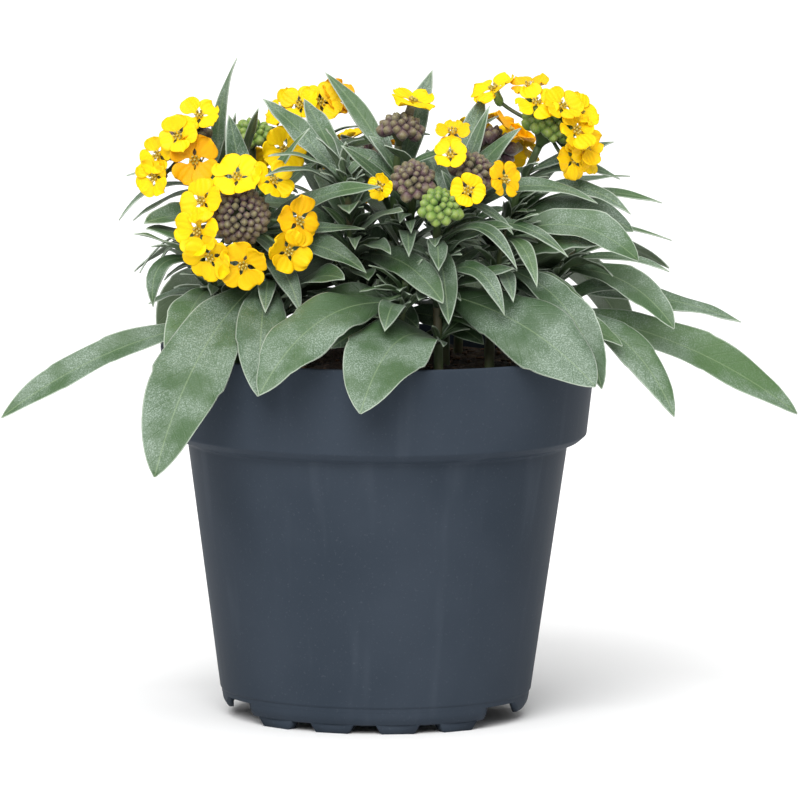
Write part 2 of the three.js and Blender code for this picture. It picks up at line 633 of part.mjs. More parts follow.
// A head: a small core covered with buds that stand out of it, in a spiral from its top down to
// its sides, with a neck down to the stem, and a stalk that widens to a calyx under each flower.
function headSolid(shoot, flowers, draw) {
  const [right, up, out] = headFrame(shoot.lean);
  const crown = vector(shoot.crown);
  const core = new THREE.SphereGeometry(shoot.head * 0.68, 6, 4).rotateX(Math.PI / 2);
  const foot = crown.clone().addScaledVector(out, GAP - shoot.head * 0.8);
  let body = solid(placed(core, crown, out)).add(stalk(foot, crown, STEM_RADIUS, STEM_RADIUS * 1.6));
  const spaces = flowers.map((flower) => flowerSolid(flower, GAP));
  const count = Math.round(shoot.head * 1.2);
  for (let i = 0; i < count; i++) {
    const azimuth = radians(i * GOLDEN_ANGLE);
    const tilt = Math.acos(lerp(1, -0.15, (i + 0.5) / count));
    const facing = right.clone().multiplyScalar(Math.sin(tilt) * Math.cos(azimuth))
      .addScaledVector(up, Math.sin(tilt) * Math.sin(azimuth))
      .addScaledVector(out, Math.cos(tilt));
    const size = lerp(0.8, 1.1, i / count) * draw.between(0.9, 1.1);
    const root = crown.clone().addScaledVector(facing, shoot.head * 0.5);
    const middle = root.clone().addScaledVector(facing, BUD_LENGTH / 2);
    if (flowers.some((flower) => middle.distanceTo(flower.centre) < FLOWER_RADIUS * 0.9)) continue;
    const bud = budSolid(root, facing, size);
    if (spaces.every((space) => bud.intersect(space).isEmpty())) body = body.add(bud);
  }
  for (const flower of flowers) {
    const under = flower.centre.clone().addScaledVector(flower.facing, -1.6);
    body = body.add(stalk(crown, under, 0.8, 1.4, 3));
  }
  for (const space of spaces) if (!body.intersect(space).isEmpty()) body = body.subtract(space);
  return biggest(body);
}

// The test points of what fills space already, listed by the cells that they reach into.
const cells = new Map();
const cellKey = (i, j, k) => (i + 500) * 1e6 + (j + 500) * 1e3 + (k + 500);
const cellOf = (p) => [p.x, p.y, p.z].map((c) => Math.floor(c / CELL));

function occupy(point, reach, node, own = 0) {
  const [i, j, k] = cellOf(point);
  for (let a = i - 1; a <= i + 1; a++) {
    for (let b = j - 1; b <= j + 1; b++) {
      for (let c = k - 1; c <= k + 1; c++) {
        const key = cellKey(a, b, c);
        if (!cells.has(key)) cells.set(key, []);
        cells.get(key).push({ point, reach, node, own });
      }
    }
  }
}

function occupyLine(from, to, reach, node) {
  const count = Math.ceil(from.distanceTo(to) / TEST_STEP);
  for (let i = 0; i <= count; i++) occupy(from.clone().lerp(to, i / count), reach, node);
}

// The test points of a leaf, from near its root to its tip.
function leafTests(leaf) {
  const rows = Math.ceil(leaf.root.distanceTo(leaf.tip) / TEST_STEP);
  const tests = [];
  for (let i = 1; i <= rows; i++) {
    const t = i / rows;
    const cut = leafCut(leaf, t);
    const half = halfWidth(leaf, t);
    const steps = Math.max(1, Math.ceil(half / TEST_STEP));
    for (let j = -steps; j <= steps; j++) tests.push({ point: leafPoint(leaf, cut, half, j / steps), t });
  }
  return tests;
}

// The lowest that a leaf may pass at a distance from the pot's axis: over peat, rim or air.
function lowest(radius) {
  if (radius < RIM_RADIUS - 4) return PEAT_TOP + 4;
  return radius < RIM_RADIUS + 2 ? POT_HEIGHT + 2 : 0;
}

// Whether a leaf passes clear of the pot, the peat, the heads and the other shoots, and its outer
// part clear of its own shoot's leaves. A spiral leaf doesn't hide the front of a head either.
function isClear(leaf, node) {
  return leafTests(leaf).every(({ point, t }) => {
    if (point.z < lowest(Math.hypot(point.x, point.y))) return false;
    for (const head of heads) {
      const way = point.clone().sub(head.crown);
      const distance = way.length();
      if (distance < head.reach) return false;
      if (!leaf.listed && distance < 24 && way.dot(head.out) > 0.75 * distance) return false;
    }
    for (const other of cells.get(cellKey(...cellOf(point))) ?? []) {
      const reach = other.node === node ? (t > FREE_SHARE ? other.own : 0) : other.reach;
      if (reach > 0 && point.distanceTo(other.point) < reach) return false;
    }
    return true;
  });
}

const shoots = SHOOTS.map((shoot, index) => {
  const draw = new Draw(1001 + index * 7);
  const curve = stemCurve(shoot);
  const flowers = flowersOf(shoot, draw);
  const leaves = leavesOf(shoot, curve, draw);
  return { shoot, draw, curve, flowers, leaves, body: stemSolid(curve) };
});
const heads = shoots.filter(({ shoot }) => shoot.head > 0).map(({ shoot }) => ({
  crown: vector(shoot.crown), out: vector(shoot.lean).normalize(), reach: shoot.head * 0.5 + 6,
}));

// The stems, flowers and stalks take their space before any leaf.
for (const { shoot, curve, flowers } of shoots) {
  for (let i = 0; i <= 60; i++) occupy(curve.getPoint(i / 60), STEM_REACH, shoot.name);
  for (const flower of flowers) {
    occupyLine(vector(shoot.crown), flower.centre, STEM_REACH, 'heads');
    for (let ring = 1; ring <= 4; ring++) {
      for (let i = 0; i < ring * 6; i++) {
        const angle = (i * Math.PI) / (ring * 3);
        const radius = (flower.radius * ring) / 4;
        const spot = vector([radius * Math.cos(angle), radius * Math.sin(angle), 0.03 * ring * radius]);
        spot.applyQuaternion(new THREE.Quaternion().setFromUnitVectors(UP, flower.facing));
        occupy(spot.add(flower.centre), FLOWER_REACH, 'flowers');
      }
    }
  }
}

// Listed leaves are placed before the spiral's, and broad ones before narrow ones.
const queue = shoots.flatMap((item) => item.leaves.map((leaf) => ({ item, leaf })));
queue.sort((a, b) => (b.leaf.listed - a.leaf.listed) || (b.leaf.width - a.leaf.width));
for (const { item, leaf } of queue) {
  const node = item.shoot.name;
  const bend = BENDS.find((option) => isClear(bent(leaf, option), node));
  if (!bend) continue;
  const clear = bent(leaf, bend);
  item.body = item.body.add(bladeSolid(clear));
  for (const { point, t } of leafTests(clear)) occupy(point, LEAF_REACH, node, t > FREE_SHARE ? OWN_REACH : 0);
}

const wallflower = new THREE.Group();
wallflower.name = 'potted_wallflower';
let peat = makePeat();
for (const { shoot } of shoots) {
  const [x, y] = shoot.foot;
  const hole = post(x, y, PEAT_TOP - STEM_DEPTH - GAP, PEAT_TOP + 8, HOLE_RADIUS, HOLE_RADIUS, STEM_SIDES);
  peat = peat.subtract(solid(hole));
}
wallflower.add(meshOf(makePot(), 'pot', PLASTIC), meshOf(peat, 'peat', PEAT));

for (const { shoot, draw, flowers, body } of shoots) {
  wallflower.add(meshOf(biggest(body), shoot.name + '_leaves', LEAF));
  if (shoot.head > 0) {
    const material = shoot.bud === 'green' ? GREEN_BUD : PURPLE_BUD;
    wallflower.add(meshOf(headSolid(shoot, flowers, draw), shoot.name + '_buds', material));
  }
  if (flowers.length > 0) {
    const petals = flowers.map((flower) => flowerSolid(flower)).reduce((a, b) => a.add(b));
    petals.decompose().forEach((piece, i) => {
      wallflower.add(meshOf(piece, `${shoot.name}_flowers_${i + 1}`, PETAL));
    });
  }
}

export default wallflower;
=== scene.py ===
"""A potted wallflower: the fine surface of a leafy plant with yellow flowers in a nursery pot.

The layout of the plant is worked out in millimetres, as in the construction model, and every
mesh is turned to metres when it is built. -Y is the front.
"""
import functools
import math
from types import SimpleNamespace

import bpy
import numpy as np
from mathutils import Matrix, Vector


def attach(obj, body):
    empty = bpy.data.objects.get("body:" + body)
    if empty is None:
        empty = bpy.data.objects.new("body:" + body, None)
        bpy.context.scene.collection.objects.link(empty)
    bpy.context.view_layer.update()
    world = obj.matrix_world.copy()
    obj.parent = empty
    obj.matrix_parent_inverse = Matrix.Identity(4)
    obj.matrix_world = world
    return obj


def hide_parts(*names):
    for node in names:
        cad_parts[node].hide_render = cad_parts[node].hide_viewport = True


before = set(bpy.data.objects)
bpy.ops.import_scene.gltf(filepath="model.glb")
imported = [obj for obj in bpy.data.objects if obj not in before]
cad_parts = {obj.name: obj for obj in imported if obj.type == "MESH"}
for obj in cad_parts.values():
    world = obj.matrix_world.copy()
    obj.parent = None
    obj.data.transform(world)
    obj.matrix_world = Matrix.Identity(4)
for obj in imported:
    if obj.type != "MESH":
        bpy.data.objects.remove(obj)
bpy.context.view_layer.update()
MM = 0.001

# The camera: a long lens at a small height above the rim, level but for a slight roll.
CAMERA_DISTANCE = 3.0
CAMERA_HEIGHT_ANGLE = 6.6
CAMERA_TARGET = (0.0066, 0.0, 0.0948)
CAMERA_ROLL = 0.5
CAMERA_LENS = 450.6
SENSOR_WIDTH = 36.0

# The strengths of the white surround and of the two soft lights.
SURROUND = 0.5
FRONT_LIGHT = 3.0
TOP_LIGHT = 1.3

# The pot, in millimetres. Angles are in degrees from the front, towards +X. A length of the skirt
# is its start, its end, and how far its front end draws back from there to the ground.
POT_HEIGHT = 111
RIM_RADIUS = 65.3
BAND_BOTTOM = 85.4
BAND_RADIUS = 62.6
BODY_TOP = 82.2
BODY_TOP_RADIUS = 56.9
BODY_BOTTOM = 8.3
BODY_BOTTOM_RADIUS = 46.4
BASE_BOTTOM = 6.5
SKIRT_BOTTOM = 2.6
SKIRT_RADIUS = 44.4
WALL = 1.5
POT_SIDES = 192
SKIRTS = [(-54.5, 46.4, 0), (63.8, 110, 9), (134, 234.5, 0), (258, 288, 9)]
FEET = [-42.5, -17, 9, 34.5, 145.5, 171, 197, 222.5]
FOOT_RING = 42.2
FOOT_WIDTH = 13.3
PAD_RADIUS = 8
DRAIN_COUNT = 6
DRAIN_RADIUS = 3.5
DRAIN_RING = 20

# The peat and the plant, in millimetres.
PEAT_TOP = 105
PEAT_LUMP = 1.2
BARK_COUNT = 320
BARK_RING = 60
STEM_DEPTH = 8
STEM_RADIUS = 1.35
STALK_RADIUS = 0.6
LEAF_FOLD = 0.3
PETIOLE = 1.7
BROAD_LEAF = 9
FLOWER_RADIUS = 7.1
CUP_RADIUS = 1.45
STAMEN_COUNT = 6
BUD_LENGTH = 5.2
GOLDEN_ANGLE = 137.508

# How a leaf is kept clear: the spacing of its test points, how near they may come to those of
# other things, and the spare room round a block of points, which is more than any reach.
TEST_STEP = 1.6
LEAF_REACH = 2.1
FLOWER_REACH = 2.2
STEM_REACH = 3
OWN_REACH = 1.5
FREE_SHARE = 0.2
BLOCK_SPARE = 3.2

# How many young leaves may stand in the axil of each leaf, and their shortest and longest length.
TUFT_COUNT = 3
YOUNG_LENGTHS = (8, 16)

# The draws: how each number follows from the last one, and the seeds.
DRAW_STEP = 16807
DRAW_RANGE = 2147483647
SHOOT_SEED = 1001
LEAF_SEED = 4001
FLOWER_SEED = 9001
BARK_SEED = 77

# About one whole turn, for waves.
WAVE = 6.28

UP = np.array([0.0, 0.0, 1.0])
FRONT = np.array([0.0, -1.0, 0.0])

# The shoots. foot is where a stem leaves the peat, and crown is where it ends: the middle of its
# head of buds, or its top leaves. lean is the way the crown faces. head is the radius of the
# head. A flower is its centre, measured from the crown, and its share of the full size if it is
# smaller. A leaf is its height up the stem, its tip, its width, its arch (how far its middle
# stands above the line from root to tip) and its show (how far its upper face turns to the
# front). fill is how many more leaves the spiral rule adds, and ring is how many flowers are
# spread evenly round the head.
SHOOTS = [dict(
    name="front_left", foot=[-26, -24], crown=[-41, -38, 153.5], lean=[-0.05, -0.93, 0.36],
    head=9, bud="purple", fill=6,
    flowers=[
        [-1, -3, 11.5], [9.5, -2, 10.5], [-11, -4, 4.5], [-12, -5, -4], [-8.5, -6, -11.5],
        [1, -7, -13.5], [17, -4, -1], [14, -6, -9.5],
    ],
    leaves=[
        [0.45, [-65, -76, 80], 22, 9, 1.2], [0.42, [-35, -66, 103], 15, 8, 0.9],
        [0.4, [-42, -54, 125], 6.5, 5, 1], [0.75, [-25, -48, 137], 6, 4, 1],
        [0.6, [-22, -50, 131], 7, 5, 1], [0.65, [-6, -48, 134], 8.5, 5, 1],
        [0.8, [-7, -45, 150], 4.5, 1, 0.8], [0.84, [-17, -42, 173], 4, 2, 0.6],
        [0.75, [0, -46, 159], 7, 4, 1], [0.8, [-45, -20, 182], 8, 1, 0.5],
    ],
), dict(
    name="left", foot=[-34, -2], crown=[-57, 0, 171.5], lean=[-0.35, -0.5, 0.79],
    head=6.5, bud="purple", fill=5,
    flowers=[
        [3, -6, 8.5, 0.85], [-3, -12, 3, 0.85], [2, -12, -4], [-9, -8, -3, 0.85], [-10, -8, -9.5, 0.85],
    ],
    leaves=[
        [0.75, [-78, 0, 148], 3.5, 7, 0.3], [0.55, [-70, -18, 149], 9, 3, 0.9],
        [0.5, [-72, 12, 131], 3, 7, 0], [0.85, [-76, 6, 161], 3, 2, 0.3],
        [0.8, [-74, -4, 157], 3, 2, 0.3], [0.8, [-43, -14, 182], 4, -2, 0.3],
        [0.6, [-30, -9, 192], 4.5, 6, 0.5], [0.5, [-35, -12, 188], 5, 5, 0.5],
    ],
), dict(
    name="back_left", foot=[-22, 14], crown=[-38, 5, 173], lean=[0.05, -0.3, 0.95],
    head=5, bud="green", fill=6,
    flowers=[[9, -9, -3]],
    leaves=[[0.85, [-30, -10, 183], 5, 1, 1]],
), dict(
    name="back", foot=[-8, 24], crown=[-20, 25, 180], lean=[0, -0.1, 1],
    head=6, bud="purple", fill=6,
    flowers=[
        [-4, -7, 1.5, 0.85], [2, -6, 2, 0.85], [7, -2, 3, 0.85], [-9, -1, 0, 0.85], [1, 8, 2, 0.85],
    ],
    leaves=[
        [0.8, [2, 4, 187], 5, 3, 0.8], [0.85, [-17, 12, 192], 5.5, 1, 0.8],
        [0.88, [4, 14, 191], 3, 4, 0], [0.85, [-35, 14, 190], 4, 1, 0.8],
        [0.45, [-25, 4, 164], 9, 3, 1.2],
    ],
), dict(
    name="middle", foot=[-8, -12], crown=[-11, -22, 165], lean=[-0.2, -0.3, 0.93],
    head=0, fill=10,
    flowers=[],
    leaves=[
        [0.95, [-35, -12, 186], 7.5, 1, 0.9], [0.95, [-23, 12, 184], 7, 1, 0.8],
        [0.85, [-34, -52, 163], 3.5, 5, 0.6], [0.92, [-35, -44, 172], 3.5, 4, 0.5],
        [0.6, [6, -45, 162], 8, 2, 1], [0.45, [-3, -54, 137], 6.5, 4, 1],
        [0.5, [-10, -50, 145], 4.5, 4, 1], [0.48, [19, -57, 130], 11, 6, 1],
        [0.2, [-26, -34, 117], 9, 3, 1.3], [0.25, [12, -34, 120], 9, 3, 1.3],
        [0.1, [-23, -10, 125], 12, 4, 1.5],
    ],
), dict(
    name="centre", foot=[4, -14], crown=[10, -28, 163], lean=[0, -0.8, 0.6],
    head=5.5, bud="purple", fill=9,
    flowers=[[-9.5, -5, -1, 0.6]],
    leaves=[
        [0.55, [-7, -54, 143], 6.5, 7, 1], [0.8, [-6, -32, 178], 5, 1, 1],
        [0.6, [17, -54, 144], 5.5, 6, 1], [0.7, [8, -52, 150], 5.5, 4, 1],
        [0.2, [30, -34, 118], 9, 3, 1.3], [0.15, [-14, -36, 114], 9, 2, 1.3],
    ],
), dict(
    name="top", foot=[4, 8], crown=[6, -5, 176], lean=[0.1, -0.2, 0.97],
    head=5.5, bud="purple", fill=7,
    flowers=[[3.5, 2, 8.5]],
    leaves=[
        [0.85, [-15, 18, 194], 6, 2, 1], [0.8, [2, 22, 187], 5, 1, 1], [0.7, [19, 10, 192], 8, 1, 1],
        [0.85, [27, -5, 185], 4, 2, 1], [0.8, [27, 10, 191], 3, 1, 1], [0.75, [-2, 18, 190], 6, 5, 0.8],
        [0.25, [-8, -6, 147], 12, 3, 1.5],
    ],
), dict(
    name="centre_right", foot=[20, -8], crown=[27, -25, 165.5], lean=[0.35, -0.6, 0.72],
    head=6, bud="purple", fill=9,
    flowers=[[-6, -8, 6, 0.75], [-5.5, -2, 12, 0.7], [-1, -11, -4, 0.65], [9.5, -3, -1.5, 0.75]],
    leaves=[
        [0.8, [41, -8, 196], 6.5, 1, 0.8], [0.8, [50, -20, 184], 5.5, 2, 0.8],
        [0.8, [31, -14, 187], 4.5, 1, 0.8], [0.65, [65, -18, 156], 7, 9, 0.6],
        [0.6, [56, -38, 142], 5, 7, 0.8], [0.85, [44, -36, 157], 4, 3, 0.6],
        [0.15, [46, -26, 114], 9, 3, 1.3], [0.3, [0, -28, 126], 8, 3, 1.3],
        [0.75, [31, 8, 186], 8, 2, 1], [0.7, [42, -12, 178], 7, 3, 0.8], [0.5, [14, 2, 170], 9, 3, 1.2],
    ],
), dict(
    name="front_right", foot=[18, -33], crown=[18, -36, 156], lean=[0.1, -0.75, 0.65],
    head=5, bud="green", fill=10,
    flowers=[],
    leaves=[
        [0.38, [64, -60, 106], 22, 5, 1.3], [0.12, [-5, -82, 100], 24, 11, 0.9],
        [0.7, [41, -48, 142], 5, 9, 0.6], [0.45, [31, -56, 134], 6.5, 9, 0.8],
        [0.4, [40, -42, 139], 7, 1, 0.8], [0.25, [42, -48, 120], 9, 4, 1.2],
        [0.3, [2, -50, 121], 8, 3, 1.2], [0.75, [21, -57, 126], 8, 3, 1.5],
        [0.55, [9, -56, 128], 7, 4, 1.2], [0.75, [8, -52, 149], 6, 3, 1],
    ],
), dict(
    name="right", foot=[33, 8], crown=[50, 0, 177], lean=[0.4, -0.2, 0.89],
    head=8, bud="green", fill=6,
    flowers=[
        [-16, 3, 11, 0.9], [-5.5, 2, 12, 0.9], [-3.5, -8, 8, 0.85], [4, -8, 7, 0.9], [9, -3, 5, 0.85],
        [8, -9, 0, 0.85], [10.5, -6, -4.5, 0.85], [7.5, -8, -8.5, 0.85], [12, -3, -8, 0.8],
    ],
    leaves=[
        [0.55, [76, 0, 146], 12, 6, 0.9], [0.5, [88, 15, 142], 3.5, 4, 0.3],
        [0.6, [85, 18, 153], 5, 5, 0.6], [0.7, [78, 28, 156], 4, 2, 0.3],
        [0.7, [75, -8, 152], 6, 6, 0.9], [0.85, [71, 5, 170], 5, 1, 0.7],
        [0.8, [72, 8, 161], 5, 4, 0.6],
    ],
), dict(
    name="right_low", foot=[33, -18], crown=[38, -22, 149], lean=[0.2, -0.3, 0.93],
    head=0, fill=8,
    flowers=[],
    leaves=[
        [0.65, [65, -54, 108], 12, 9, 0.6], [0.6, [62, -36, 116], 10, 8, 0.8],
        [0.92, [77, -28, 140], 13, 7, 0.8], [0.9, [54, -44, 141], 5, 5, 0.7],
        [0.6, [45, -48, 135], 5, 4, 0.8], [0.5, [60, -28, 123], 11, 5, 0.9],
    ],
), dict(
    name="right_side", foot=[46, -2], crown=[58, 0, 141], lean=[0.5, 0, 0.86],
    head=0, fill=7,
    flowers=[],
    leaves=[
        [0.35, [126, 4, 91], 14, 6, 1], [0.55, [109, 10, 118], 8, 3, 0.8],
        [0.75, [88, -20, 119], 11, 6, 0.8], [0.85, [85, -8, 129], 4.5, 3, 0.5],
        [0.35, [88, -32, 94], 11, 9, 0.8],
    ],
), dict(
    name="front_low", foot=[4, -36], crown=[8, -42, 135], lean=[0, -0.5, 0.86],
    head=0, fill=7,
    flowers=[],
    leaves=[
        [0.65, [-33, -80, 100], 18, 10, 0.9], [0.55, [2, -62, 120], 8, 5, 0.8],
        [0.8, [-21, -56, 132], 5.5, -2, 1], [0.48, [12, -56, 122], 5, 3, 1],
    ],
), dict(
    name="left_low", foot=[-42, -14], crown=[-54, -14, 140], lean=[-0.4, -0.1, 0.9],
    head=0, fill=7,
    flowers=[],
    leaves=[
        [0.3, [-112, -24, 91], 11, 5, 0.8], [0.6, [-60, -50, 106], 12, 8, 0.8],
        [0.9, [-67, -20, 124], 6, 8, 0.6], [0.55, [-69, 0, 123], 5, 2, 0.6],
        [0.95, [-66, -8, 135], 3, 5, 0.3],
    ],
), dict(
    name="rear_right", foot=[24, 32], crown=[34, 42, 167], lean=[0.3, 0.55, 0.78],
    head=7, bud="purple", fill=6, ring=5,
    flowers=[],
    leaves=[
        [0.4, [78, 64, 103], 15, 14, -0.6], [0.45, [30, 92, 101], 17, 14, -0.6],
        [0.55, [88, 40, 131], 10, 7, -0.5],
    ],
), dict(
    name="rear", foot=[-4, 42], crown=[-6, 54, 161], lean=[0, 0.75, 0.66],
    head=8, bud="purple", fill=6, ring=5,
    flowers=[],
    leaves=[
        [0.35, [-4, 96, 97], 18, 14, -0.6], [0.4, [-32, 84, 109], 14, 11, -0.6],
        [0.55, [14, 86, 127], 9, 7, -0.6],
    ],
), dict(
    name="rear_left", foot=[-32, 28], crown=[-46, 38, 159], lean=[-0.45, 0.5, 0.74],
    head=6.5, bud="green", fill=6, ring=4,
    flowers=[],
    leaves=[
        [0.35, [-64, 58, 99], 16, 14, -0.4], [0.4, [-48, 76, 97], 18, 15, -0.6],
        [0.55, [-74, 26, 130], 9, 6, -0.2],
    ],
)]

# The ways that a leaf may be moved to pass clear of other shoots: a share of its size, then
# degrees up and degrees sideways from where it would lie. The first that is clear is taken.
BENDS = []
for size in (1, 0.85, 0.7, 0.55):
    BENDS.append((size, 0, 0))
    for turn in (5, 10, 15, 22):
        ways = [(lift, swing) for lift in (turn, -turn, 0) for swing in (0, turn, -turn)]
        BENDS += [(size, *way) for way in ways if any(way)]


class Draw:
    """A repeatable draw of numbers between a low and a high one."""

    def __init__(self, seed):
        self.state = seed

    def __call__(self, low=0, high=1):
        self.state = (self.state * DRAW_STEP) % DRAW_RANGE
        return lerp(low, high, self.state / DRAW_RANGE)


def lerp(a, b, t):
    return (1 - t) * a + t * b


def smooth(low, high, value):
    """A soft step from 0 at low to 1 at high."""
    t = np.clip((value - low) / (high - low), 0, 1)
    return t * t * (3 - 2 * t)


def vector(values):
    return np.array(values, float)


def unit(values):
    return values / np.linalg.norm(values, axis=-1, keepdims=True)


def turned_to(facing):
    """The rotation that takes +Z to a facing by the shortest way."""
    x, y, z = facing
    if z < -0.999999:
        return np.diag([1.0, -1.0, -1.0])
    k = 1 / (1 + z)
    return np.array([[1 - x * x * k, -x * y * k, x], [-x * y * k, 1 - y * y * k, y], [-x, -y, z]])


def about(axis, degrees, values):
    """Values turned about a unit axis."""
    c = math.cos(math.radians(degrees))
    s = math.sin(math.radians(degrees))
    return values * c + np.cross(axis, values) * s + axis * np.dot(axis, values) * (1 - c)


def around(radius, angle, height):
    """Points round the upright axis, each at a radius, an angle and a height."""
    x, y = radius * np.cos(angle), radius * np.sin(angle)
    return np.stack(np.broadcast_arrays(x, y, height), 1)


def stem_line(shoot):
    """The four control points of a stem, from the bottom of its hole up to its crown."""
    x, y = shoot["foot"]
    lean = unit(vector(shoot["lean"]))
    end = vector(shoot["crown"]) - lean * shoot["head"] * 0.8
    rise = end[2] - PEAT_TOP
    return [
        vector([x, y, PEAT_TOP - STEM_DEPTH]),
        vector([x, y, PEAT_TOP + rise * 0.45]),
        end - lean * rise * 0.35,
        end,
    ]


def bezier(line, t):
    """The points of a cubic curve at shares of its way."""
    t = np.atleast_1d(t)[:, None]
    a, b, c, d = line
    return (1 - t) ** 3 * a + 3 * (1 - t) ** 2 * t * b + 3 * (1 - t) * t ** 2 * c + t ** 3 * d


def stem_point(line, height):
    """The point on a stem that is a share of the way from the peat to its crown."""
    rooted = STEM_DEPTH / (line[3][2] - line[0][2])
    return bezier(line, lerp(rooted * 0.9, 1, height))[0]


def half_width(leaf, t):
    """The half width of a leaf at shares of its length. Broad leaves are widest past the middle."""
    broad = leaf.width >= BROAD_LEAF
    peak = 0.58 if broad else 0.52
    full = 1.9 if broad else 2
    a, b = peak * full, (1 - peak) * full
    shape = t ** a * (1 - t) ** b / (peak ** a * (1 - peak) ** b)
    return np.maximum(PETIOLE / 2 * (1 - t), leaf.width / 2 * shape)


def leaf_cuts(leaf, t):
    """The midrib's place, the side and the normal of a leaf at shares of its length."""
    chord = unit(leaf.tip - leaf.root)
    rise = unit(UP - chord * chord[2])
    middle = (leaf.root + leaf.tip) / 2 + rise * 2 * leaf.arch
    t = t[:, None]
    first = lerp(leaf.root, middle, t)
    second = lerp(middle, leaf.tip, t)
    tangent = unit(second - first)
    side = unit(np.cross(tangent, leaf.face))
    return lerp(first, second, t), side, np.cross(side, tangent)


def bent(leaf, bend):
    """A leaf moved by one of the bends, about its root."""
    size, lift, swing = bend
    reach = (leaf.tip - leaf.root) * size
    side = unit(np.cross(reach, UP))
    reach = about(UP, swing, about(side, lift, reach))
    return SimpleNamespace(
        root=leaf.root, tip=leaf.root + reach, width=leaf.width * size, arch=leaf.arch * size,
        face=leaf.face, listed=leaf.listed)


def leaves_of(shoot, line, draw):
    """All the leaves of a shoot: those that are listed, then a spiral of smaller ones."""
    leaves = []
    for height, tip, width, arch, show in shoot["leaves"]:
        leaves.append(SimpleNamespace(
            root=stem_point(line, height), tip=vector(tip), width=width, arch=arch,
            face=vector([0, -show, 1]), listed=True))
    phase = draw(0, 360)
    for i in range(shoot["fill"]):
        height = lerp(0.12, 0.88, (i + draw()) / shoot["fill"])
        azimuth = math.radians(phase + i * GOLDEN_ANGLE + draw(-15, 15))
        rise = math.radians(lerp(0, 50, height) + draw(-10, 10))
        length = lerp(44, 21, height) * draw(0.85, 1.15)
        root = stem_point(line, height)
        tip = root + length * vector([
            math.cos(rise) * math.cos(azimuth), math.cos(rise) * math.sin(azimuth), math.sin(rise)])
        width = length * draw(0.22, 0.31)
        arch = length * draw(0.08, 0.2)
        face = vector([draw(-0.5, 0.5), draw(-0.8, 0.4), 1])
        leaves.append(SimpleNamespace(
            root=root, tip=tip, width=width, arch=arch, face=face, listed=False))
    return leaves


def head_frame(lean):
    """Right, up and out of a head, as seen from straight in front of it."""
    out = unit(vector(lean))
    up = unit(UP - out * out[2])
    return np.cross(up, out), up, out


def flowers_of(shoot, draw):
    """The flowers of a shoot: those that are listed, which turn a little to the light at the
    front, then an even ring."""
    right, up, out = head_frame(shoot["lean"])
    offsets = [vector(flower[:3]) for flower in shoot["flowers"]]
    shares = [flower[3] if len(flower) > 3 else 1 for flower in shoot["flowers"]]
    count = shoot.get("ring", 0)
    front = 0 if count else 0.5
    shares += [1] * count
    for i in range(count):
        azimuth = (i + draw(-0.2, 0.2)) * 2 * math.pi / count
        spread = shoot["head"] * draw(1.1, 1.25)
        offsets.append(
            right * spread * math.cos(azimuth) + up * spread * math.sin(azimuth)
            + out * draw(1, 5))
    flowers = []
    for offset, share in zip(offsets, shares):
        flowers.append(SimpleNamespace(
            centre=vector(shoot["crown"]) + offset,
            facing=unit(unit(offset) + out * 0.75 + FRONT * front),
            spin=draw(0, 90), radius=FLOWER_RADIUS * share * draw(0.88, 1.05)))
    return flowers


class Space:
    """The test points of what fills space already."""

    def __init__(self, heads):
        self.heads = heads
        self.blocks = []

    def occupy(self, points, reach, node, own=0.0):
        own = np.broadcast_to(own, len(points))
        low, high = points.min(0) - BLOCK_SPARE, points.max(0) + BLOCK_SPARE
        self.blocks.append((points, reach, node, own, low, high))

    def is_clear(self, leaf, node):
        """Whether a leaf passes clear of the pot, the peat, the heads and the other leaves."""
        points, t = leaf_tests(leaf)
        radius = np.hypot(points[:, 0], points[:, 1])
        lowest = np.where(radius < RIM_RADIUS + 2, POT_HEIGHT + 2, 0)
        lowest = np.where(radius < RIM_RADIUS - 4, PEAT_TOP + 4, lowest)
        if (points[:, 2] < lowest).any():
            return False
        for crown, out, reach in self.heads:
            way = points - crown
            distance = np.linalg.norm(way, axis=1)
            if (distance < reach).any():
                return False
            if not leaf.listed and ((distance < 24) & (way @ out > 0.75 * distance)).any():
                return False
        low, high = points.min(0), points.max(0)
        for others, reach, other_node, own, other_low, other_high in self.blocks:
            if (low > other_high).any() or (high < other_low).any():
                continue
            distance = np.linalg.norm(points[:, None] - others[None], axis=2)
            if other_node != node:
                if (distance < reach).any():
                    return False
            elif (distance < own[None] * (t > FREE_SHARE)[:, None]).any():
                return False
        return True


def leaf_tests(leaf):
    """The test points of a leaf, from near its root to its tip, and their shares of its length."""
    rows = math.ceil(np.linalg.norm(leaf.tip - leaf.root) / TEST_STEP)
    t = np.arange(1, rows + 1) / rows
    centre, side, normal = leaf_cuts(leaf, t)
    half = half_width(leaf, t)
    points = []
    shares = []
    for i in range(rows):
        steps = max(1, math.ceil(half[i] / TEST_STEP))
        u = (np.arange(-steps, steps + 1) / steps)[:, None]
        points.append(centre[i] + side[i] * half[i] * u + normal[i] * LEAF_FOLD * half[i] * abs(u))
        shares.append(np.full(len(u), t[i]))
    return np.concatenate(points), np.concatenate(shares)


def heads_of(shoots):
    """The middle, the facing and the reach of each head."""
    return [
        (item.crown, unit(vector(item.data["lean"])), item.head * 0.5 + 6)
        for item in shoots if item.head]


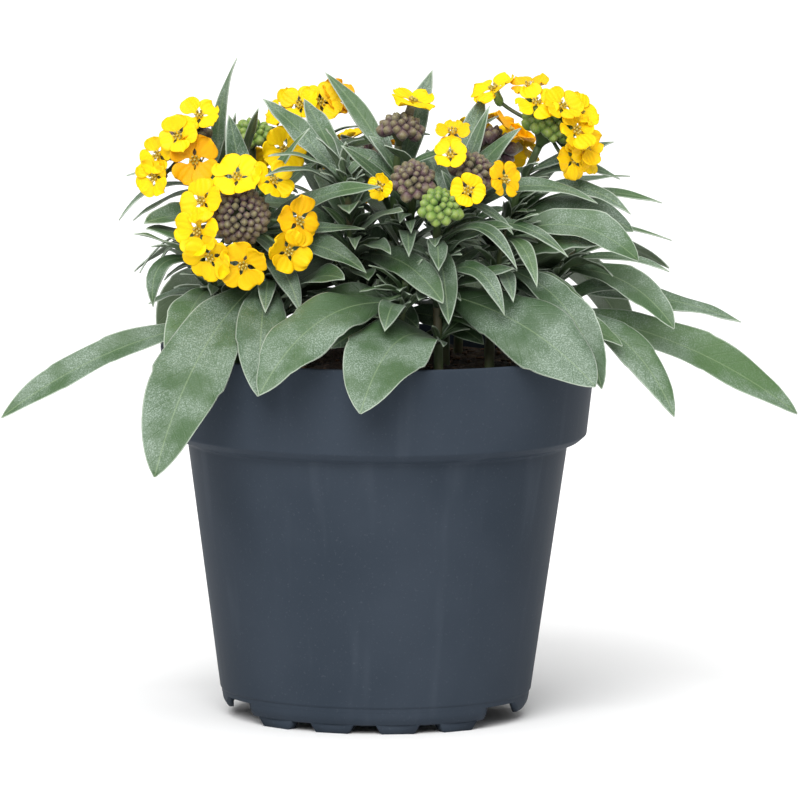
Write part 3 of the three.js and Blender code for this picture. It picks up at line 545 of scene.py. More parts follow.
def lay_out():
    """Every shoot with its stem, its flowers and the leaves that are clear."""
    shoots = []
    for index, shoot in enumerate(SHOOTS):
        draw = Draw(SHOOT_SEED + index * 7)
        line = stem_line(shoot)
        flowers = flowers_of(shoot, draw)
        queue = leaves_of(shoot, line, draw)
        shoots.append(SimpleNamespace(
            data=shoot, name=shoot["name"], line=line, flowers=flowers, queue=queue, leaves=[],
            draw=draw, crown=vector(shoot["crown"]), head=shoot["head"]))
    space = Space(heads_of(shoots))
    for item in shoots:
        space.occupy(bezier(item.line, np.arange(61) / 60), STEM_REACH, item.name)
        for flower in item.flowers:
            count = math.ceil(np.linalg.norm(flower.centre - item.crown) / TEST_STEP)
            way = lerp(item.crown, flower.centre, (np.arange(count + 1) / count)[:, None])
            space.occupy(way, STEM_REACH, "heads")
            spots = []
            for ring in range(1, 5):
                angle = np.arange(ring * 6) * math.pi / (ring * 3)
                radius = flower.radius * ring / 4
                spots.append(around(radius, angle, 0.03 * ring * radius))
            spots = np.concatenate(spots) @ turned_to(flower.facing).T + flower.centre
            space.occupy(spots, FLOWER_REACH, "flowers")
    queue = [(item, leaf) for item in shoots for leaf in item.queue]
    queue.sort(key=lambda entry: (not entry[1].listed, -entry[1].width))
    for item, leaf in queue:
        for bend in BENDS:
            tried = bent(leaf, bend)
            if space.is_clear(tried, item.name):
                points, t = leaf_tests(tried)
                own = np.where(t > FREE_SHARE, OWN_REACH, 0.0)
                space.occupy(points, LEAF_REACH, item.name, own)
                item.leaves.append(tried)
                break
    return shoots


def put(name, data):
    """A new object in the scene."""
    thing = bpy.data.objects.new(name, data)
    bpy.context.scene.collection.objects.link(thing)
    return thing


class Form:
    """A mesh that grows piece by piece, in millimetres, with named numbers on its points."""

    def __init__(self, *numbers):
        self.points = []
        self.faces = []
        self.kinds = []
        self.numbers = {name: [] for name in numbers}
        self.count = 0

    def add(self, skin, kind=0, **numbers):
        points, faces = skin
        self.points.append(points)
        self.faces += [tuple(self.count + i for i in face) for face in faces]
        self.kinds += [kind] * len(faces)
        for name, values in self.numbers.items():
            values.append(np.broadcast_to(numbers.get(name, 0.0), len(points)))
        self.count += len(points)

    def build(self, name, slot, *materials):
        """The finished object, hung on the root body. Its caller hides the CAD nodes that it stands
        for.
        """
        mesh = bpy.data.meshes.new(name)
        mesh.from_pydata((np.concatenate(self.points) * MM).tolist(), [], self.faces)
        mesh.polygons.foreach_set("material_index", self.kinds)
        mesh.polygons.foreach_set("use_smooth", [True] * len(self.faces))
        for key, values in self.numbers.items():
            layer = mesh.attributes.new(key, "FLOAT", "POINT")
            layer.data.foreach_set("value", np.concatenate(values).astype(np.float32))
        for material in materials:
            mesh.materials.append(material)
        piece = put(name, mesh)
        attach(piece, "root")
        return piece


@functools.lru_cache(maxsize=None)
def ring_faces(count, size, closed):
    """The faces of a skin over a row of rings, with its two ends closed or open."""
    faces = []
    for i in range(count - 1):
        for j in range(size):
            k = (j + 1) % size
            faces.append((i * size + j, i * size + k, (i + 1) * size + k, (i + 1) * size + j))
    if closed:
        faces.append(tuple(reversed(range(size))))
        faces.append(tuple(range((count - 1) * size, count * size)))
    else:
        for j in range(size):
            k = (j + 1) % size
            faces.append(((count - 1) * size + j, (count - 1) * size + k, k, j))
    return faces


def loft(rings, closed=True):
    """A skin over rings with equally many points. An open one joins its last ring to its first."""
    return rings.reshape(-1, 3), ring_faces(rings.shape[0], rings.shape[1], closed)


def tube(path, radii, sides, lobes=0, depth=0.0):
    """A round skin along a path. lobes and depth give it ribs along its length."""
    tangent = unit(np.gradient(path, axis=0))
    side = np.cross(tangent[0], UP)
    if np.linalg.norm(side) < 0.1:
        side = np.cross(tangent[0], vector([1, 0, 0]))
    rings = []
    angle = np.arange(sides) * 2 * math.pi / sides
    for centre, along, radius in zip(path, tangent, np.broadcast_to(radii, len(path))):
        side = unit(side - along * np.dot(side, along))
        other = np.cross(along, side)
        ribbed = radius * (1 + depth * np.cos(lobes * angle))
        across = side * (ribbed * np.cos(angle))[:, None]
        rings.append(centre + across + other * (ribbed * np.sin(angle))[:, None])
    return loft(np.array(rings))


def places_across(columns):
    """Places from one margin of a blade to the other, closest together at the margins."""
    return np.sin(np.linspace(-1, 1, columns) * math.pi / 2)


def sheet(centre, side, normal, half, lift, thick):
    """A thin closed blade over a row of cuts, its points' places across it, and its under side.

    lift and thick hold a value for each cut and each place across, from -1 to 1.
    """
    columns = lift.shape[1]
    u = places_across(columns)
    flat = centre[:, None] + side[:, None] * (half[:, None] * u)[..., None]
    over = flat + normal[:, None] * (lift + thick / 2)[..., None]
    below = flat + normal[:, None] * (lift - thick / 2)[..., None]
    rings = np.concatenate([over[:, -1:], below[:, -2:0:-1], over[:, :-1]], axis=1)
    across = np.concatenate([[1.0], u[-2:0:-1], u[:-1]])
    under = np.concatenate([[0.5], np.ones(columns - 2), [0.5], np.zeros(columns - 2)])
    return loft(rings), np.tile(across, len(centre)), np.tile(under, len(centre))


class Look:
    """A material whose nodes are added one by one."""

    def __init__(self, name, roughness, **constants):
        self.material = bpy.data.materials.new(name)
        self.material.use_nodes = True
        self.tree = self.material.node_tree
        self.shader = self.tree.nodes["Principled BSDF"]
        self.shader.inputs["Roughness"].default_value = roughness
        for socket, value in constants.items():
            self.shader.inputs[socket.replace("_", " ")].default_value = value

    def add(self, kind, inputs, output=0, **settings):
        """A node with its settings and its inputs, which are numbers, colours or other outputs."""
        node = self.tree.nodes.new("ShaderNode" + kind)
        for name, value in settings.items():
            setattr(node, name, value)
        for socket, value in inputs.items():
            self.feed(node.inputs[socket], value)
        return node.outputs[output]

    def feed(self, socket, value):
        if isinstance(value, bpy.types.NodeSocket):
            self.tree.links.new(value, socket)
        else:
            socket.default_value = value

    def number(self, name):
        return self.add("Attribute", {}, "Fac", attribute_name=name)

    def noise(self, scale, detail=3.0, stretch=(1, 1, 1)):
        place = self.add("TexCoord", {}, "Object")
        if stretch != (1, 1, 1):
            place = self.add("Mapping", {"Vector": place, "Scale": stretch})
        return self.add("TexNoise", {"Vector": place, "Scale": scale, "Detail": detail}, "Fac")

    def step(self, value, low, high, start=0.0, end=1.0):
        """A soft step of a value, from start at low to end at high."""
        return self.add(
            "MapRange", {"Value": value, 1: low, 2: high, 3: start, 4: end},
            interpolation_type="SMOOTHSTEP")

    def specks(self, scale, detail, low, high, end=1.0):
        """A soft step of noise."""
        return self.step(self.noise(scale, detail), low, high, 0.0, end)

    def math(self, operation, a, b=0.0):
        return self.add("Math", {0: a, 1: b}, operation=operation)

    def times(self, a, b):
        return self.math("MULTIPLY", a, b)

    def mix(self, factor, a, b):
        """A colour between two colours."""
        inputs = {"Factor": factor, 6: (*a, 1) if isinstance(a, tuple) else a}
        inputs[7] = (*b, 1) if isinstance(b, tuple) else b
        return self.add("Mix", inputs, 2, data_type="RGBA")

    def finish(self, color, roughness=None, height=None, distance=0.001, strength=0.5):
        self.feed(self.shader.inputs["Base Color"], color)
        if roughness is not None:
            self.feed(self.shader.inputs["Roughness"], roughness)
        if height is not None:
            bump = self.add("Bump", {"Height": height, "Distance": distance, "Strength": strength})
            self.feed(self.shader.inputs["Normal"], bump)
        return self.material


def leaf_material():
    """Grey-green with a frosted bloom in specks, a fine pale midrib and margin, and painted shade: a
    near-black green deep inside the plant and near the leaf roots, where the pale margin is left out."""
    look = Look("leaf", 0.5, Sheen_Weight=0.06, Sheen_Roughness=0.4)
    tone = look.number("tone")
    # How deep a point lies in the plant's painted shade, from 0 to 1.
    inner = look.number("inner")
    bloom = look.specks(80, 6, 0.38, 0.64)
    fleck = look.specks(2600, 4, 0.42, 0.72)
    color = look.mix(tone, (0.024, 0.066, 0.02), (0.058, 0.122, 0.036))
    color = look.mix(look.times(bloom, 0.6), color, (0.12, 0.175, 0.12))
    speck = look.times(fleck, look.math("ADD", 0.1, look.times(bloom, 0.5)))
    color = look.mix(speck, color, (0.36, 0.44, 0.38))
    along = look.number("along")
    off = look.number("off")
    slant = look.math("SUBTRACT", along, look.times(off, 1.4))
    wave = look.math("ABSOLUTE", look.math("SINE", look.times(slant, 0.62)))
    vein = look.step(wave, 0.02, 0.25, 1.0, 0.0)
    color = look.mix(look.times(vein, 0.12), color, (0.11, 0.17, 0.07))
    color = look.mix(look.times(look.number("under"), 0.7), color, (0.075, 0.11, 0.05))
    # Painted shade: deep inside the plant and near the leaf roots the colour darkens to a near-black
    # green.
    color = look.mix(look.times(inner, 0.8), color, (0.012, 0.034, 0.007))
    rib = look.step(off, 0.08, 0.3, 0.4, 0.0)
    color = look.mix(rib, color, (0.2, 0.28, 0.14))
    rim = look.step(look.number("rim"), 0.1, 0.5, 0.6, 0.0)
    # The pale margin shows only where no shade is painted.
    unshaded = look.math("SUBTRACT", 1.0, inner)
    color = look.mix(look.times(rim, unshaded), color, (0.55, 0.62, 0.52))
    height = look.math("ADD", look.times(fleck, 0.25), look.times(vein, -0.5))
    return look.finish(color, None, height, 0.0003, 0.5)


def stem_material():
    look = Look("stem", 0.55)
    patch = look.specks(90, 3, 0.4, 0.65)
    color = look.mix(patch, (0.05, 0.09, 0.025), (0.08, 0.075, 0.035))
    return look.finish(color, None, look.noise(900, 2), 0.0003, 0.4)


def bud_material(name, low, high, tip):
    """Sepals that pale from foot to tip."""
    look = Look(name, 0.55, Sheen_Weight=0.15)
    color = look.mix(look.number("tone"), low, high)
    color = look.mix(look.step(look.number("along"), 0.6, 1.0, 0.0, 0.7), color, tip)
    color = look.mix(look.specks(1800, 2, 0.5, 0.7, 0.35), color, (0.3, 0.28, 0.24))
    return look.finish(color, None, look.noise(1500, 2), 0.0002, 0.4)


def petal_material():
    """Clear yellow, deeper near the claw, and orange on the oldest flowers."""
    look = Look(
        "petal", 0.55, Specular_IOR_Level=0.2, Subsurface_Weight=0.1, Subsurface_Scale=0.001)
    along = look.number("along")
    color = look.mix(look.number("tone"), (0.86, 0.56, 0.0), (0.8, 0.27, 0.001))
    color = look.mix(look.step(along, 0.1, 0.36, 0.5, 0.0), color, (0.6, 0.36, 0.01))
    wave = look.math("SINE", look.times(look.number("across"), 15.0))
    color = look.mix(look.times(look.step(wave, 0.5, 1.0), 0.06), color, (0.85, 0.45, 0.003))
    return look.finish(color, None, wave, 0.0002, 0.25)


def stamen_material():
    look = Look("stamen", 0.7)
    color = look.mix(look.specks(1500, 3, 0.4, 0.6), (0.3, 0.24, 0.03), (0.6, 0.46, 0.1))
    return look.finish(color, None, look.noise(4000), 0.0002, 0.6)


def plastic_material():
    """Slate-blue plastic with the faint upright streaks of a drawn wall, and some dust."""
    look = Look("plastic", 0.6, Specular_IOR_Level=0.03)
    streak = look.noise(120, 2, (1, 1, 0.04))
    grain = look.noise(1400, 2)
    cloud = look.noise(22, 3)
    color = look.mix(look.step(cloud, 0.3, 0.7), (0.027, 0.036, 0.049), (0.035, 0.045, 0.06))
    color = look.mix(look.step(streak, 0.55, 0.75, 0.0, 0.35), color, (0.052, 0.064, 0.082))
    color = look.mix(look.step(grain, 0.62, 0.75, 0.0, 0.25), color, (0.08, 0.09, 0.11))
    roughness = look.step(cloud, 0.2, 0.8, 0.45, 0.58)
    height = look.math("ADD", look.times(streak, 0.7), look.times(grain, 0.15))
    return look.finish(color, roughness, height, 0.0006, 0.2)


def peat_material():
    look = Look("peat", 0.95)
    crumb = look.specks(260, 5, 0.35, 0.65)
    color = look.mix(crumb, (0.012, 0.008, 0.006), (0.06, 0.035, 0.02))
    return look.finish(color, None, look.noise(700, 6), 0.0015, 0.9)


def bark_material():
    look = Look("bark", 0.9)
    color = look.mix(look.number("tone"), (0.035, 0.02, 0.012), (0.17, 0.09, 0.045))
    return look.finish(color, None, look.noise(900, 4, (1, 1, 0.3)), 0.0006, 0.8)


def cut_at(angle, r, z):
    """A profile set upright at an angle round the pot from the front."""
    return np.stack([r * np.sin(angle), -r * np.cos(angle), z], 1)


def revolve(profile, sides=POT_SIDES):
    """A skin turned round the pot's axis from a closed profile."""
    angle = np.radians(np.linspace(0, 360, sides, endpoint=False))
    r, z = vector(profile).T
    return loft(np.array([cut_at(a, r, z) for a in angle]), closed=False)


def rounded(corners, steps=4):
    """A closed profile of (radius, height, rounding), with an arc at each rounded corner."""
    points = []
    for i, (r, z, size) in enumerate(corners):
        here = vector([r, z])
        if size == 0:
            points.append(here)
            continue
        before = vector(corners[i - 1][:2]) - here
        after = vector(corners[(i + 1) % len(corners)][:2]) - here
        first = here + before / np.linalg.norm(before) * size
        last = here + after / np.linalg.norm(after) * size
        for t in np.linspace(0, 1, steps + 1):
            points.append((1 - t) ** 2 * first + 2 * t * (1 - t) * here + t ** 2 * last)
    return points


def make_pot(material):
    """The pot's thin wall with its band and rim, its base, and the skirt and feet under it."""
    form = Form()
    wall = rounded([
        (BODY_BOTTOM_RADIUS - 0.3, BASE_BOTTOM, 0.3),
        (BODY_BOTTOM_RADIUS - 0.2, BODY_BOTTOM - 0.5, 0.1),
        (BODY_BOTTOM_RADIUS + 0.25, BODY_BOTTOM + 0.1, 0.25),
        (BODY_TOP_RADIUS, BODY_TOP, 0.9),
        (BAND_RADIUS - 2.3, BAND_BOTTOM - 2, 0.7),
        (BAND_RADIUS, BAND_BOTTOM, 0.45),
        (RIM_RADIUS - 0.2, POT_HEIGHT - 2.5, 0.8),
        (RIM_RADIUS, POT_HEIGHT, 0.6),
        (RIM_RADIUS - WALL, POT_HEIGHT, 0.5),
        (BAND_RADIUS - WALL + 0.1, BAND_BOTTOM + 1.2, 1),
        (BODY_TOP_RADIUS - WALL, BODY_TOP + 1.2, 0.8),
        (BODY_BOTTOM_RADIUS - WALL, BASE_BOTTOM + WALL, 0.4),
        (DRAIN_RING + DRAIN_RADIUS, BASE_BOTTOM + WALL, 0),
        (DRAIN_RING + DRAIN_RADIUS, BASE_BOTTOM, 0),
    ])
    form.add(revolve(wall[::-1]))
    form.add(base_plate())
    for start, end, slant in SKIRTS:
        form.add(skirt(start, end, slant))
    for turn in FEET:
        form.add(foot(turn))
    top = BASE_BOTTOM + 0.2
    pad = [(0.01, 0), (PAD_RADIUS, 0), (PAD_RADIUS + 1, top), (0.01, top)]
    form.add(revolve(pad[::-1], 48))
    piece = form.build("pot_wall", "pot", material)
    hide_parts("pot")


def base_plate():
    """The flat base inside the ring of drain holes, cut by the holes along its edge."""
    angle = np.radians(np.arange(0, 360, 2.5))
    edge = DRAIN_RING + DRAIN_RADIUS + 0.1
    turns = np.degrees(angle) % (360 / DRAIN_COUNT)
    away = np.radians(np.minimum(turns, 360 / DRAIN_COUNT - turns)) * DRAIN_RING
    bite = np.sqrt(np.clip(DRAIN_RADIUS ** 2 - away ** 2, 0, None)) * 2
    radius = np.where(bite > 0, edge - bite, edge)
    rings = []
    for share, z in ((0.01, 0), (1, 0), (1, WALL), (0.01, WALL)):
        rings.append(around(radius * share, angle, BASE_BOTTOM + z))
    return loft(np.array(rings))


def skirt(start, end, slant):
    """A length of the skirt under the wall. slant draws its front end back towards the ground."""
    profile = vector(rounded([
        (SKIRT_RADIUS - WALL, SKIRT_BOTTOM, 0.3),
        (SKIRT_RADIUS, SKIRT_BOTTOM, 0.6),
        (BODY_BOTTOM_RADIUS - 0.7, SKIRT_BOTTOM + 2, 0.8),
        (BODY_BOTTOM_RADIUS - 0.3, BASE_BOTTOM + 0.3, 0.2),
        (BODY_BOTTOM_RADIUS - WALL - 0.3, BASE_BOTTOM + 0.3, 0.2),
    ]))[::-1]
    r, z = profile.T
    drop = slant * (BASE_BOTTOM - z) / (BASE_BOTTOM - SKIRT_BOTTOM)
    at_front = start < 180
    rings = []
    for share in np.linspace(0, 1, math.ceil((end - start) / 2)):
        low = start + drop * at_front
        high = end - drop * (not at_front)
        angle = np.radians(lerp(low, high, share))
        rings.append(cut_at(angle, r, z))
    return loft(np.array(rings))


def foot(turn):
    """A small block under the skirt, narrower at the ground."""
    rings = []
    for z, share in ((0, 0.72), (0.25, 0.76), (SKIRT_BOTTOM + 0.3, 1)):
        wide = FOOT_WIDTH / 2 * share
        deep = FOOT_WIDTH * 0.142 * share
        corners = [(-wide, -deep), (wide, -deep), (wide, deep), (-wide, deep)]
        rings.append([(x, y - FOOT_RING, z) for x, y in corners])
    points, faces = loft(np.array(rings, float))
    spun = Matrix.Rotation(math.radians(turn), 3, "Z")
    return points @ np.array(spun).T, faces


def peat_height(x, y):
    """The height of the peat's surface: a low mound with lumps and a crumbly grain."""
    r = np.hypot(x, y)
    lumps = PEAT_LUMP * (np.sin(x * 0.21 + 1.3) * np.cos(y * 0.19) + 0.5 * np.sin((x - y) * 0.37))
    crumbs = 0.35 * np.sin(x * 1.7 + 2 * np.sin(y * 0.9)) * np.sin(y * 1.5 + x * 0.4)
    grain = 0.2 * np.sin(x * 4.1 + y * 2.3) * np.sin(y * 3.7 - x * 1.1)
    return PEAT_TOP + smooth(56, 28, r) + (lumps + crumbs + grain) * smooth(62, 56, r)


def make_peat(peat, bark):
    """The peat's crumbly top with its sides down to the base, and flecks of bark lying on it."""
    form = Form("tone")
    sides = 180
    angle = np.arange(sides) * 2 * math.pi / sides
    side = WALL + 0.5
    profile = [
        (0.1, BASE_BOTTOM + WALL + 0.3),
        (BODY_BOTTOM_RADIUS - side, BASE_BOTTOM + WALL + 0.3),
        (BODY_TOP_RADIUS - side, BODY_TOP + 1.4),
        (BAND_RADIUS - side - 1, BAND_BOTTOM + 2.8),
        (BAND_RADIUS - side + 1.2, PEAT_TOP - 2),
    ]
    rings = [around(r, angle, z) for r, z in profile]
    for r in np.linspace(BAND_RADIUS - WALL, 0.1, 60):
        rings.append(around(r, angle, peat_height(r * np.cos(angle), r * np.sin(angle))))
    form.add(loft(np.array(rings)))
    draw = Draw(BARK_SEED)
    for _ in range(BARK_COUNT):
        r, a = BARK_RING * math.sqrt(draw()), draw(0, 2 * math.pi)
        x, y = r * math.cos(a), r * math.sin(a)
        middle = vector([x, y, peat_height(x, y) + 0.3])
        way = unit(vector([draw(-1, 1), draw(-1, 1), draw(-0.25, 0.25)]))
        length = draw(1, 3.6)
        path = middle + way * (np.linspace(-length, length, 5) * 0.5)[:, None]
        girth = draw(0.3, 0.8) * vector([0.55, 1, 0.8, 1, 0.5])
        form.add(tube(path, girth, 5, 2, draw(0.1, 0.45)), 1, tone=draw())
    piece = form.build("peat_fill", "peat", peat, bark)
    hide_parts("peat")


def add_leaf(form, leaf, draw):
    """A fine leaf: a soft fold at the midrib, waved and curled margins, and a few small teeth."""
    broad = leaf.width >= BROAD_LEAF
    length = np.linalg.norm(leaf.tip - leaf.root)
    rows = int(np.clip(length / 1.6, 8, 40))
    columns = 13 if broad else 9
    t = np.linspace(0, 0.997, rows)
    centre, side, normal = leaf_cuts(leaf, t)
    half = half_width(leaf, t)
    if broad:
        teeth = draw(3.2, 4.4)
        notch = (t * teeth + draw()) % 1 - 0.5
        half = half * (1 + 0.07 * notch * smooth(0.3, 0.4, t) * smooth(0.97, 0.85, t))
    u = places_across(columns)[None]
    rib = 0.1
    fold = LEAF_FOLD * half[:, None] * (np.sqrt(u ** 2 + rib ** 2) - rib)
    curl = draw(-0.06, 0.3) * half[:, None] * abs(u) ** 3
    waves = draw(1.5, 3)
    phase = draw(0, WAVE)
    turns = waves * WAVE * t[:, None] + phase + 0.8 * np.sign(u)
    ripple = draw(0.04, 0.085) * leaf.width * np.sin(turns) * u ** 2
    lift = fold - curl + ripple * smooth(0.1, 0.4, t)[:, None] * smooth(1, 0.8, t)[:, None]
    reach = half[:, None] * abs(u)
    vein = 0.5 * np.exp(-(reach / 0.55) ** 2) * (1.15 - t)[:, None]
    stalk = 0.9 * smooth(0.2, 0.02, t)[:, None] * np.clip(1 - abs(u), 0, 1) ** 0.5
    thick = (0.34 + vein + stalk) * np.clip((1 - abs(u)) * 6, 0, 1) ** 0.5
    lift = lift - vein * 0.35
    skin, across, under = sheet(centre, side, normal, half, lift, thick)
    ring = 2 * (columns - 1)
    off = abs(across) * np.repeat(half, ring)
    place = skin[0]
    # Painted shade: points near the plant's middle, below the shoot tops, and near the leaf's root get
    # a darkness that the leaf material paints in.
    depth = smooth(66, 30, np.hypot(place[:, 0], place[:, 1] + 8)) * smooth(176, 150, place[:, 2])
    root = np.repeat(smooth(0.45, 0.05, t), ring)
    form.add(
        skin, 0, along=np.repeat(t * length, ring), off=off, rim=np.repeat(half, ring) - off,
        under=under, tone=draw(), inner=np.clip(depth * (0.6 + root) + 0.3 * root, 0, 1))


def tuft(leaf, heads, draw):
    """The small young leaves in the axil of a leaf, where there is room for them."""
    way = unit(leaf.tip - leaf.root)
    young = []
    for _ in range(TUFT_COUNT):
        spread = vector([draw(-1, 1), draw(-1, 1), draw(0.1, 1)])
        reach = unit(way * 0.7 + spread) * draw(*YOUNG_LENGTHS)
        tip = leaf.root + reach
        radius = math.hypot(tip[0], tip[1])
        if tip[2] < PEAT_TOP + 4 or radius > RIM_RADIUS - 6 and tip[2] < POT_HEIGHT + 4:
            continue
        if any(np.linalg.norm(tip - crown) < reach_out + 3 for crown, _, reach_out in heads):
            continue
        length = np.linalg.norm(reach)
        face = vector([draw(-0.6, 0.6), draw(-0.8, 0.2), 1])
        width = length * draw(0.24, 0.32)
        young.append(SimpleNamespace(
            root=leaf.root, tip=tip, width=width, arch=length * 0.1, face=face))
    return young


def make_shoot(item, heads, leaf_look, stem_look):
    """A stem, its leaves and the tufts in their axils."""
    form = Form("along", "off", "rim", "under", "tone", "inner")
    path = bezier(item.line, np.linspace(0, 1, 30))
    form.add(tube(path, np.linspace(STEM_RADIUS * 1.1, STEM_RADIUS * 0.8, 30), 12, 5, 0.05), 1)
    draw = Draw(LEAF_SEED + len(item.leaves) * 13)
    for leaf in item.leaves:
        add_leaf(form, leaf, draw)
        for young in tuft(leaf, heads, draw):
            add_leaf(form, young, draw)
    piece = form.build(item.name + "_foliage", "leaf", leaf_look, stem_look)
    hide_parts(item.name + "_leaves")


def bud(root, facing, length, girth):
    """A closed bud: an egg with the ridges of its four sepals."""
    s = np.linspace(0, 1, 9)
    path = root + facing * (s * length)[:, None]
    radii = girth * np.array([0.35, 0.7, 0.9, 1.0, 1.02, 0.97, 0.84, 0.6, 0.16])
    return tube(path, radii, 12, 4, 0.09), np.repeat(s, 12)


def add_calyx(form, crown, flower, draw):
    """The stalk of a flower and the cup of sepals behind it."""
    back = flower.centre - flower.facing * 1.1
    neck = back - flower.facing * 4.6
    way = [crown, lerp(crown, neck, 0.5) - flower.facing * 1.0, neck, back - flower.facing * 2]
    path = bezier(way, np.linspace(0, 1, 10))
    form.add(tube(path, STALK_RADIUS, 8), 1)
    cup = neck + flower.facing * (np.linspace(0, 1, 8) * 4.9)[:, None]
    radii = CUP_RADIUS * np.array([0.35, 0.8, 1, 1.03, 1, 0.96, 0.95, 0.98])
    along = 0.5 + 0.5 * np.repeat(np.linspace(0, 1, 8), 12)
    form.add(tube(cup, radii, 12, 4, 0.1), 0, along=along, tone=draw())


def make_head(item, bud_look, stem_look):
    """A dome of buds, smaller towards its top, with the stalks and calyces of its flowers."""
    form = Form("along", "tone")
    right, up, out = head_frame(item.data["lean"])
    size = item.head
    draw = item.draw
    foot_point = item.crown - out * size * 0.8
    axis = foot_point + out * (np.linspace(0.02, 1.15, 8) * size)[:, None]
    form.add(tube(axis, size * np.array([0.14, 0.2, 0.32, 0.42, 0.48, 0.46, 0.36, 0.1]), 12), 1)
    count = round(size * size * 0.7 + 12)
    for i in range(count):
        share = (i + 0.5) / count
        azimuth = math.radians(i * GOLDEN_ANGLE)
        tilt = math.acos(lerp(1, -0.2, share))
        sideways = right * math.cos(azimuth) + up * math.sin(azimuth)
        facing = math.sin(tilt) * sideways + out * math.cos(tilt)
        length = BUD_LENGTH * lerp(0.5, 0.95, share) * draw(0.88, 1.1)
        root = item.crown + facing * size * lerp(0.6, 0.5, share)
        middle = root + facing * length * 0.6
        near = FLOWER_RADIUS * 0.62
        if any(np.linalg.norm(middle - flower.centre) < near for flower in item.flowers):
            continue
        tipped = unit(facing + out * 0.25)
        skin, s = bud(root, tipped, length, length * draw(0.33, 0.4))
        form.add(skin, 0, along=s, tone=draw(0.9 * share, 1))
        form.add(tube(np.array([item.crown - out * size * 0.3, root + tipped * 0.3]), 0.45, 6), 1)
    for flower in item.flowers:
        add_calyx(form, item.crown, flower, draw)
    piece = form.build(item.name + "_head", item.data["bud"] + "_bud", bud_look, stem_look)
    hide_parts(item.name + "_buds")


def add_petal(form, flower, turn, old, draw):
    """One petal: a narrow claw that opens into a broad limb with a waved margin."""
    s = np.linspace(0, 1, 14)
    size = flower.radius * draw(0.98, 1.1)
    limb = np.sqrt(np.clip(1 - ((s - 0.66) / 0.36) ** 2, 0, 1))
    breadth = draw(0.55, 0.68)
    half = size * np.maximum(breadth * limb ** 0.75, 0.1 * (s < 0.5) + 0.02)
    angle = math.radians(turn + draw(-9, 9))
    reach = vector([math.cos(angle), math.sin(angle), 0])
    across = vector([-math.sin(angle), math.cos(angle), 0])
    droop = draw(-0.22, 0.2)
    rise = size * (0.22 * s + droop * s ** 2.2)
    centre = reach * (size * s)[:, None] + UP * rise[:, None] + UP * 0.3 * (turn % 180 > 90)
    u = places_across(11)[None]
    phase = draw(0, WAVE)
    ripple = draw(0.05, 0.1) * np.sin(3.4 * u + phase) + 0.04 * np.sin(8 * u - phase)
    wave = size * (ripple + draw(-0.06, 0.16) * u ** 2) * s[:, None] ** 1.5
    thick = 0.24 * np.clip((1 - abs(u)) * 5, 0, 1) ** 0.5 * np.ones((len(s), 1))
    turned = turned_to(flower.facing).T
    sides = np.tile(across, (len(s), 1))
    normals = unit(np.cross(np.gradient(centre, axis=0), sides))
    skin, places, _ = sheet(
        centre @ turned + flower.centre, sides @ turned, normals @ turned, half, wave, thick)
    ring = 2 * (u.shape[1] - 1)
    form.add(skin, 0, along=np.repeat(s, ring), across=places, tone=old)


def make_flowers(item, petal_look, stamen_look):
    """The open flowers of a head: four petals each, round six stamens and a pistil."""
    form = Form("along", "across", "tone")
    draw = Draw(FLOWER_SEED + len(item.flowers) * 31)
    for flower in item.flowers:
        old = 0.7 * draw() ** 4
        for quarter in range(4):
            add_petal(form, flower, flower.spin + 45 + 90 * quarter, old, draw)
        turned = turned_to(flower.facing)
        for i in range(STAMEN_COUNT + 1):
            angle = math.radians(i * 360 / STAMEN_COUNT + flower.spin)
            spread = 0 if i == STAMEN_COUNT else 0.9
            base = vector([spread * math.cos(angle), spread * math.sin(angle), 0.2])
            tip = base * vector([1.35, 1.35, 1]) + UP * draw(1.3, 1.9)
            way = lerp(base, tip, np.linspace(0, 1, 6)[:, None]) @ turned.T + flower.centre
            form.add(tube(way, np.array([0.15, 0.15, 0.2, 0.42, 0.4, 0.1]), 6), 1)
    piece = form.build(item.name + "_flowers", "petal", petal_look, stamen_look)
    nodes = [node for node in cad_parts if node.startswith(item.name + "_flowers_")]
    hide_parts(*nodes)


def make_floor():
    mesh = bpy.data.meshes.new("floor")
    size = 6.0
    corners = [(-size, -size, 0), (size, -size, 0), (size, size, 0), (-size, size, 0)]
    mesh.from_pydata(corners, [], [(0, 1, 2, 3)])
    floor = put("floor", mesh)
    look = Look("floor", 0.9)
    color = look.mix(look.specks(3, 3, 0.3, 0.7), (0.9, 0.9, 0.9), (0.92, 0.92, 0.92))
    mesh.materials.append(look.finish(color))


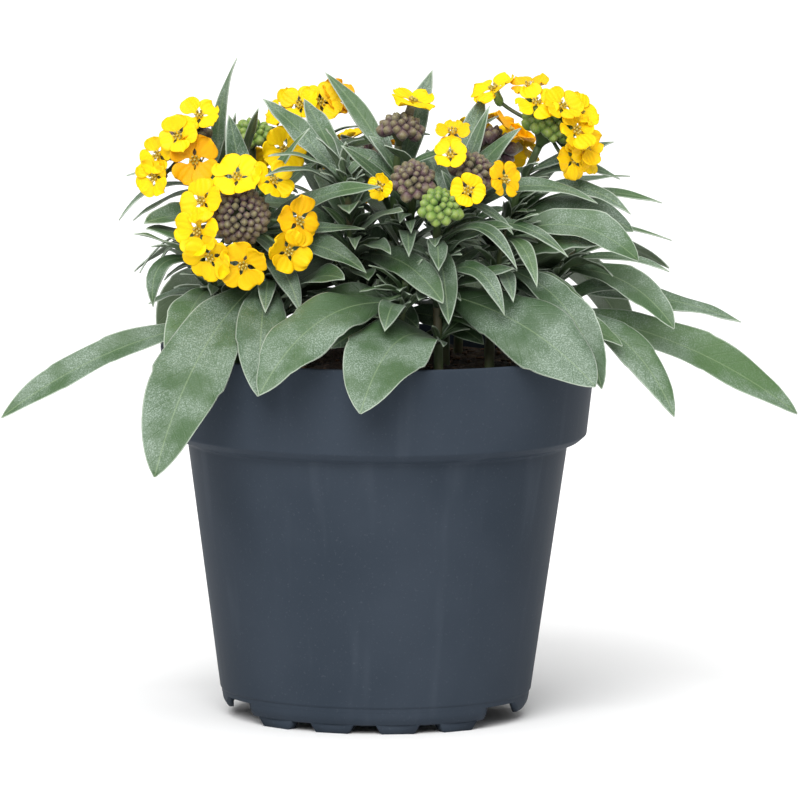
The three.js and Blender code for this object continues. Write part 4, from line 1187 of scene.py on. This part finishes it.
def add_light(name, azimuth, height_angle, strength, spread):
    """A distant soft light. Angles are in degrees: from the front towards +X, and up."""
    data = bpy.data.lights.new(name, "SUN")
    data.energy = strength
    data.angle = math.radians(spread)
    light = put(name, data)
    a, b = math.radians(azimuth), math.radians(height_angle)
    way = Vector((math.sin(a) * math.cos(b), -math.cos(a) * math.cos(b), math.sin(b)))
    light.rotation_euler = way.to_track_quat("Z", "Y").to_euler()


def make_studio():
    """A white floor and surround, with soft light from the front and from above."""
    make_floor()
    world = bpy.data.worlds.new("studio")
    world.use_nodes = True
    world.node_tree.nodes["Background"].inputs["Color"].default_value = (1, 1, 1, 1)
    world.node_tree.nodes["Background"].inputs["Strength"].default_value = SURROUND
    bpy.context.scene.world = world
    bpy.context.scene.view_settings.view_transform = "Standard"
    add_light("front", -12, 38, FRONT_LIGHT, 40)
    add_light("top", 0, 80, TOP_LIGHT, 60)


def make_camera():
    data = bpy.data.cameras.new("camera")
    data.sensor_width = SENSOR_WIDTH
    data.lens = CAMERA_LENS
    data.clip_end = 20
    camera = put("camera", data)
    angle = math.radians(CAMERA_HEIGHT_ANGLE)
    target = Vector(CAMERA_TARGET)
    camera.location = target + CAMERA_DISTANCE * Vector((0, -math.cos(angle), math.sin(angle)))
    aim = (target - camera.location).to_track_quat("-Z", "Y").to_matrix()
    roll = Matrix.Rotation(math.radians(CAMERA_ROLL), 3, "Z")
    camera.rotation_euler = (aim @ roll).to_euler()
    bpy.context.scene.camera = camera


def main():
    make_camera()
    make_studio()
    make_pot(plastic_material())
    make_peat(peat_material(), bark_material())
    leaf_look = leaf_material()
    stem_look = stem_material()
    petal_look = petal_material()
    stamen_look = stamen_material()
    bud_looks = {
        "purple": bud_material(
            "purple_bud", (0.09, 0.085, 0.035), (0.09, 0.035, 0.055), (0.2, 0.18, 0.07)),
        "green": bud_material(
            "green_bud", (0.08, 0.17, 0.015), (0.12, 0.22, 0.025), (0.26, 0.34, 0.06)),
    }
    shoots = lay_out()
    heads = heads_of(shoots)
    for item in shoots:
        make_shoot(item, heads, leaf_look, stem_look)
        if item.head:
            make_head(item, bud_looks[item.data["bud"]], stem_look)
        if item.flowers:
            make_flowers(item, petal_look, stamen_look)


main()
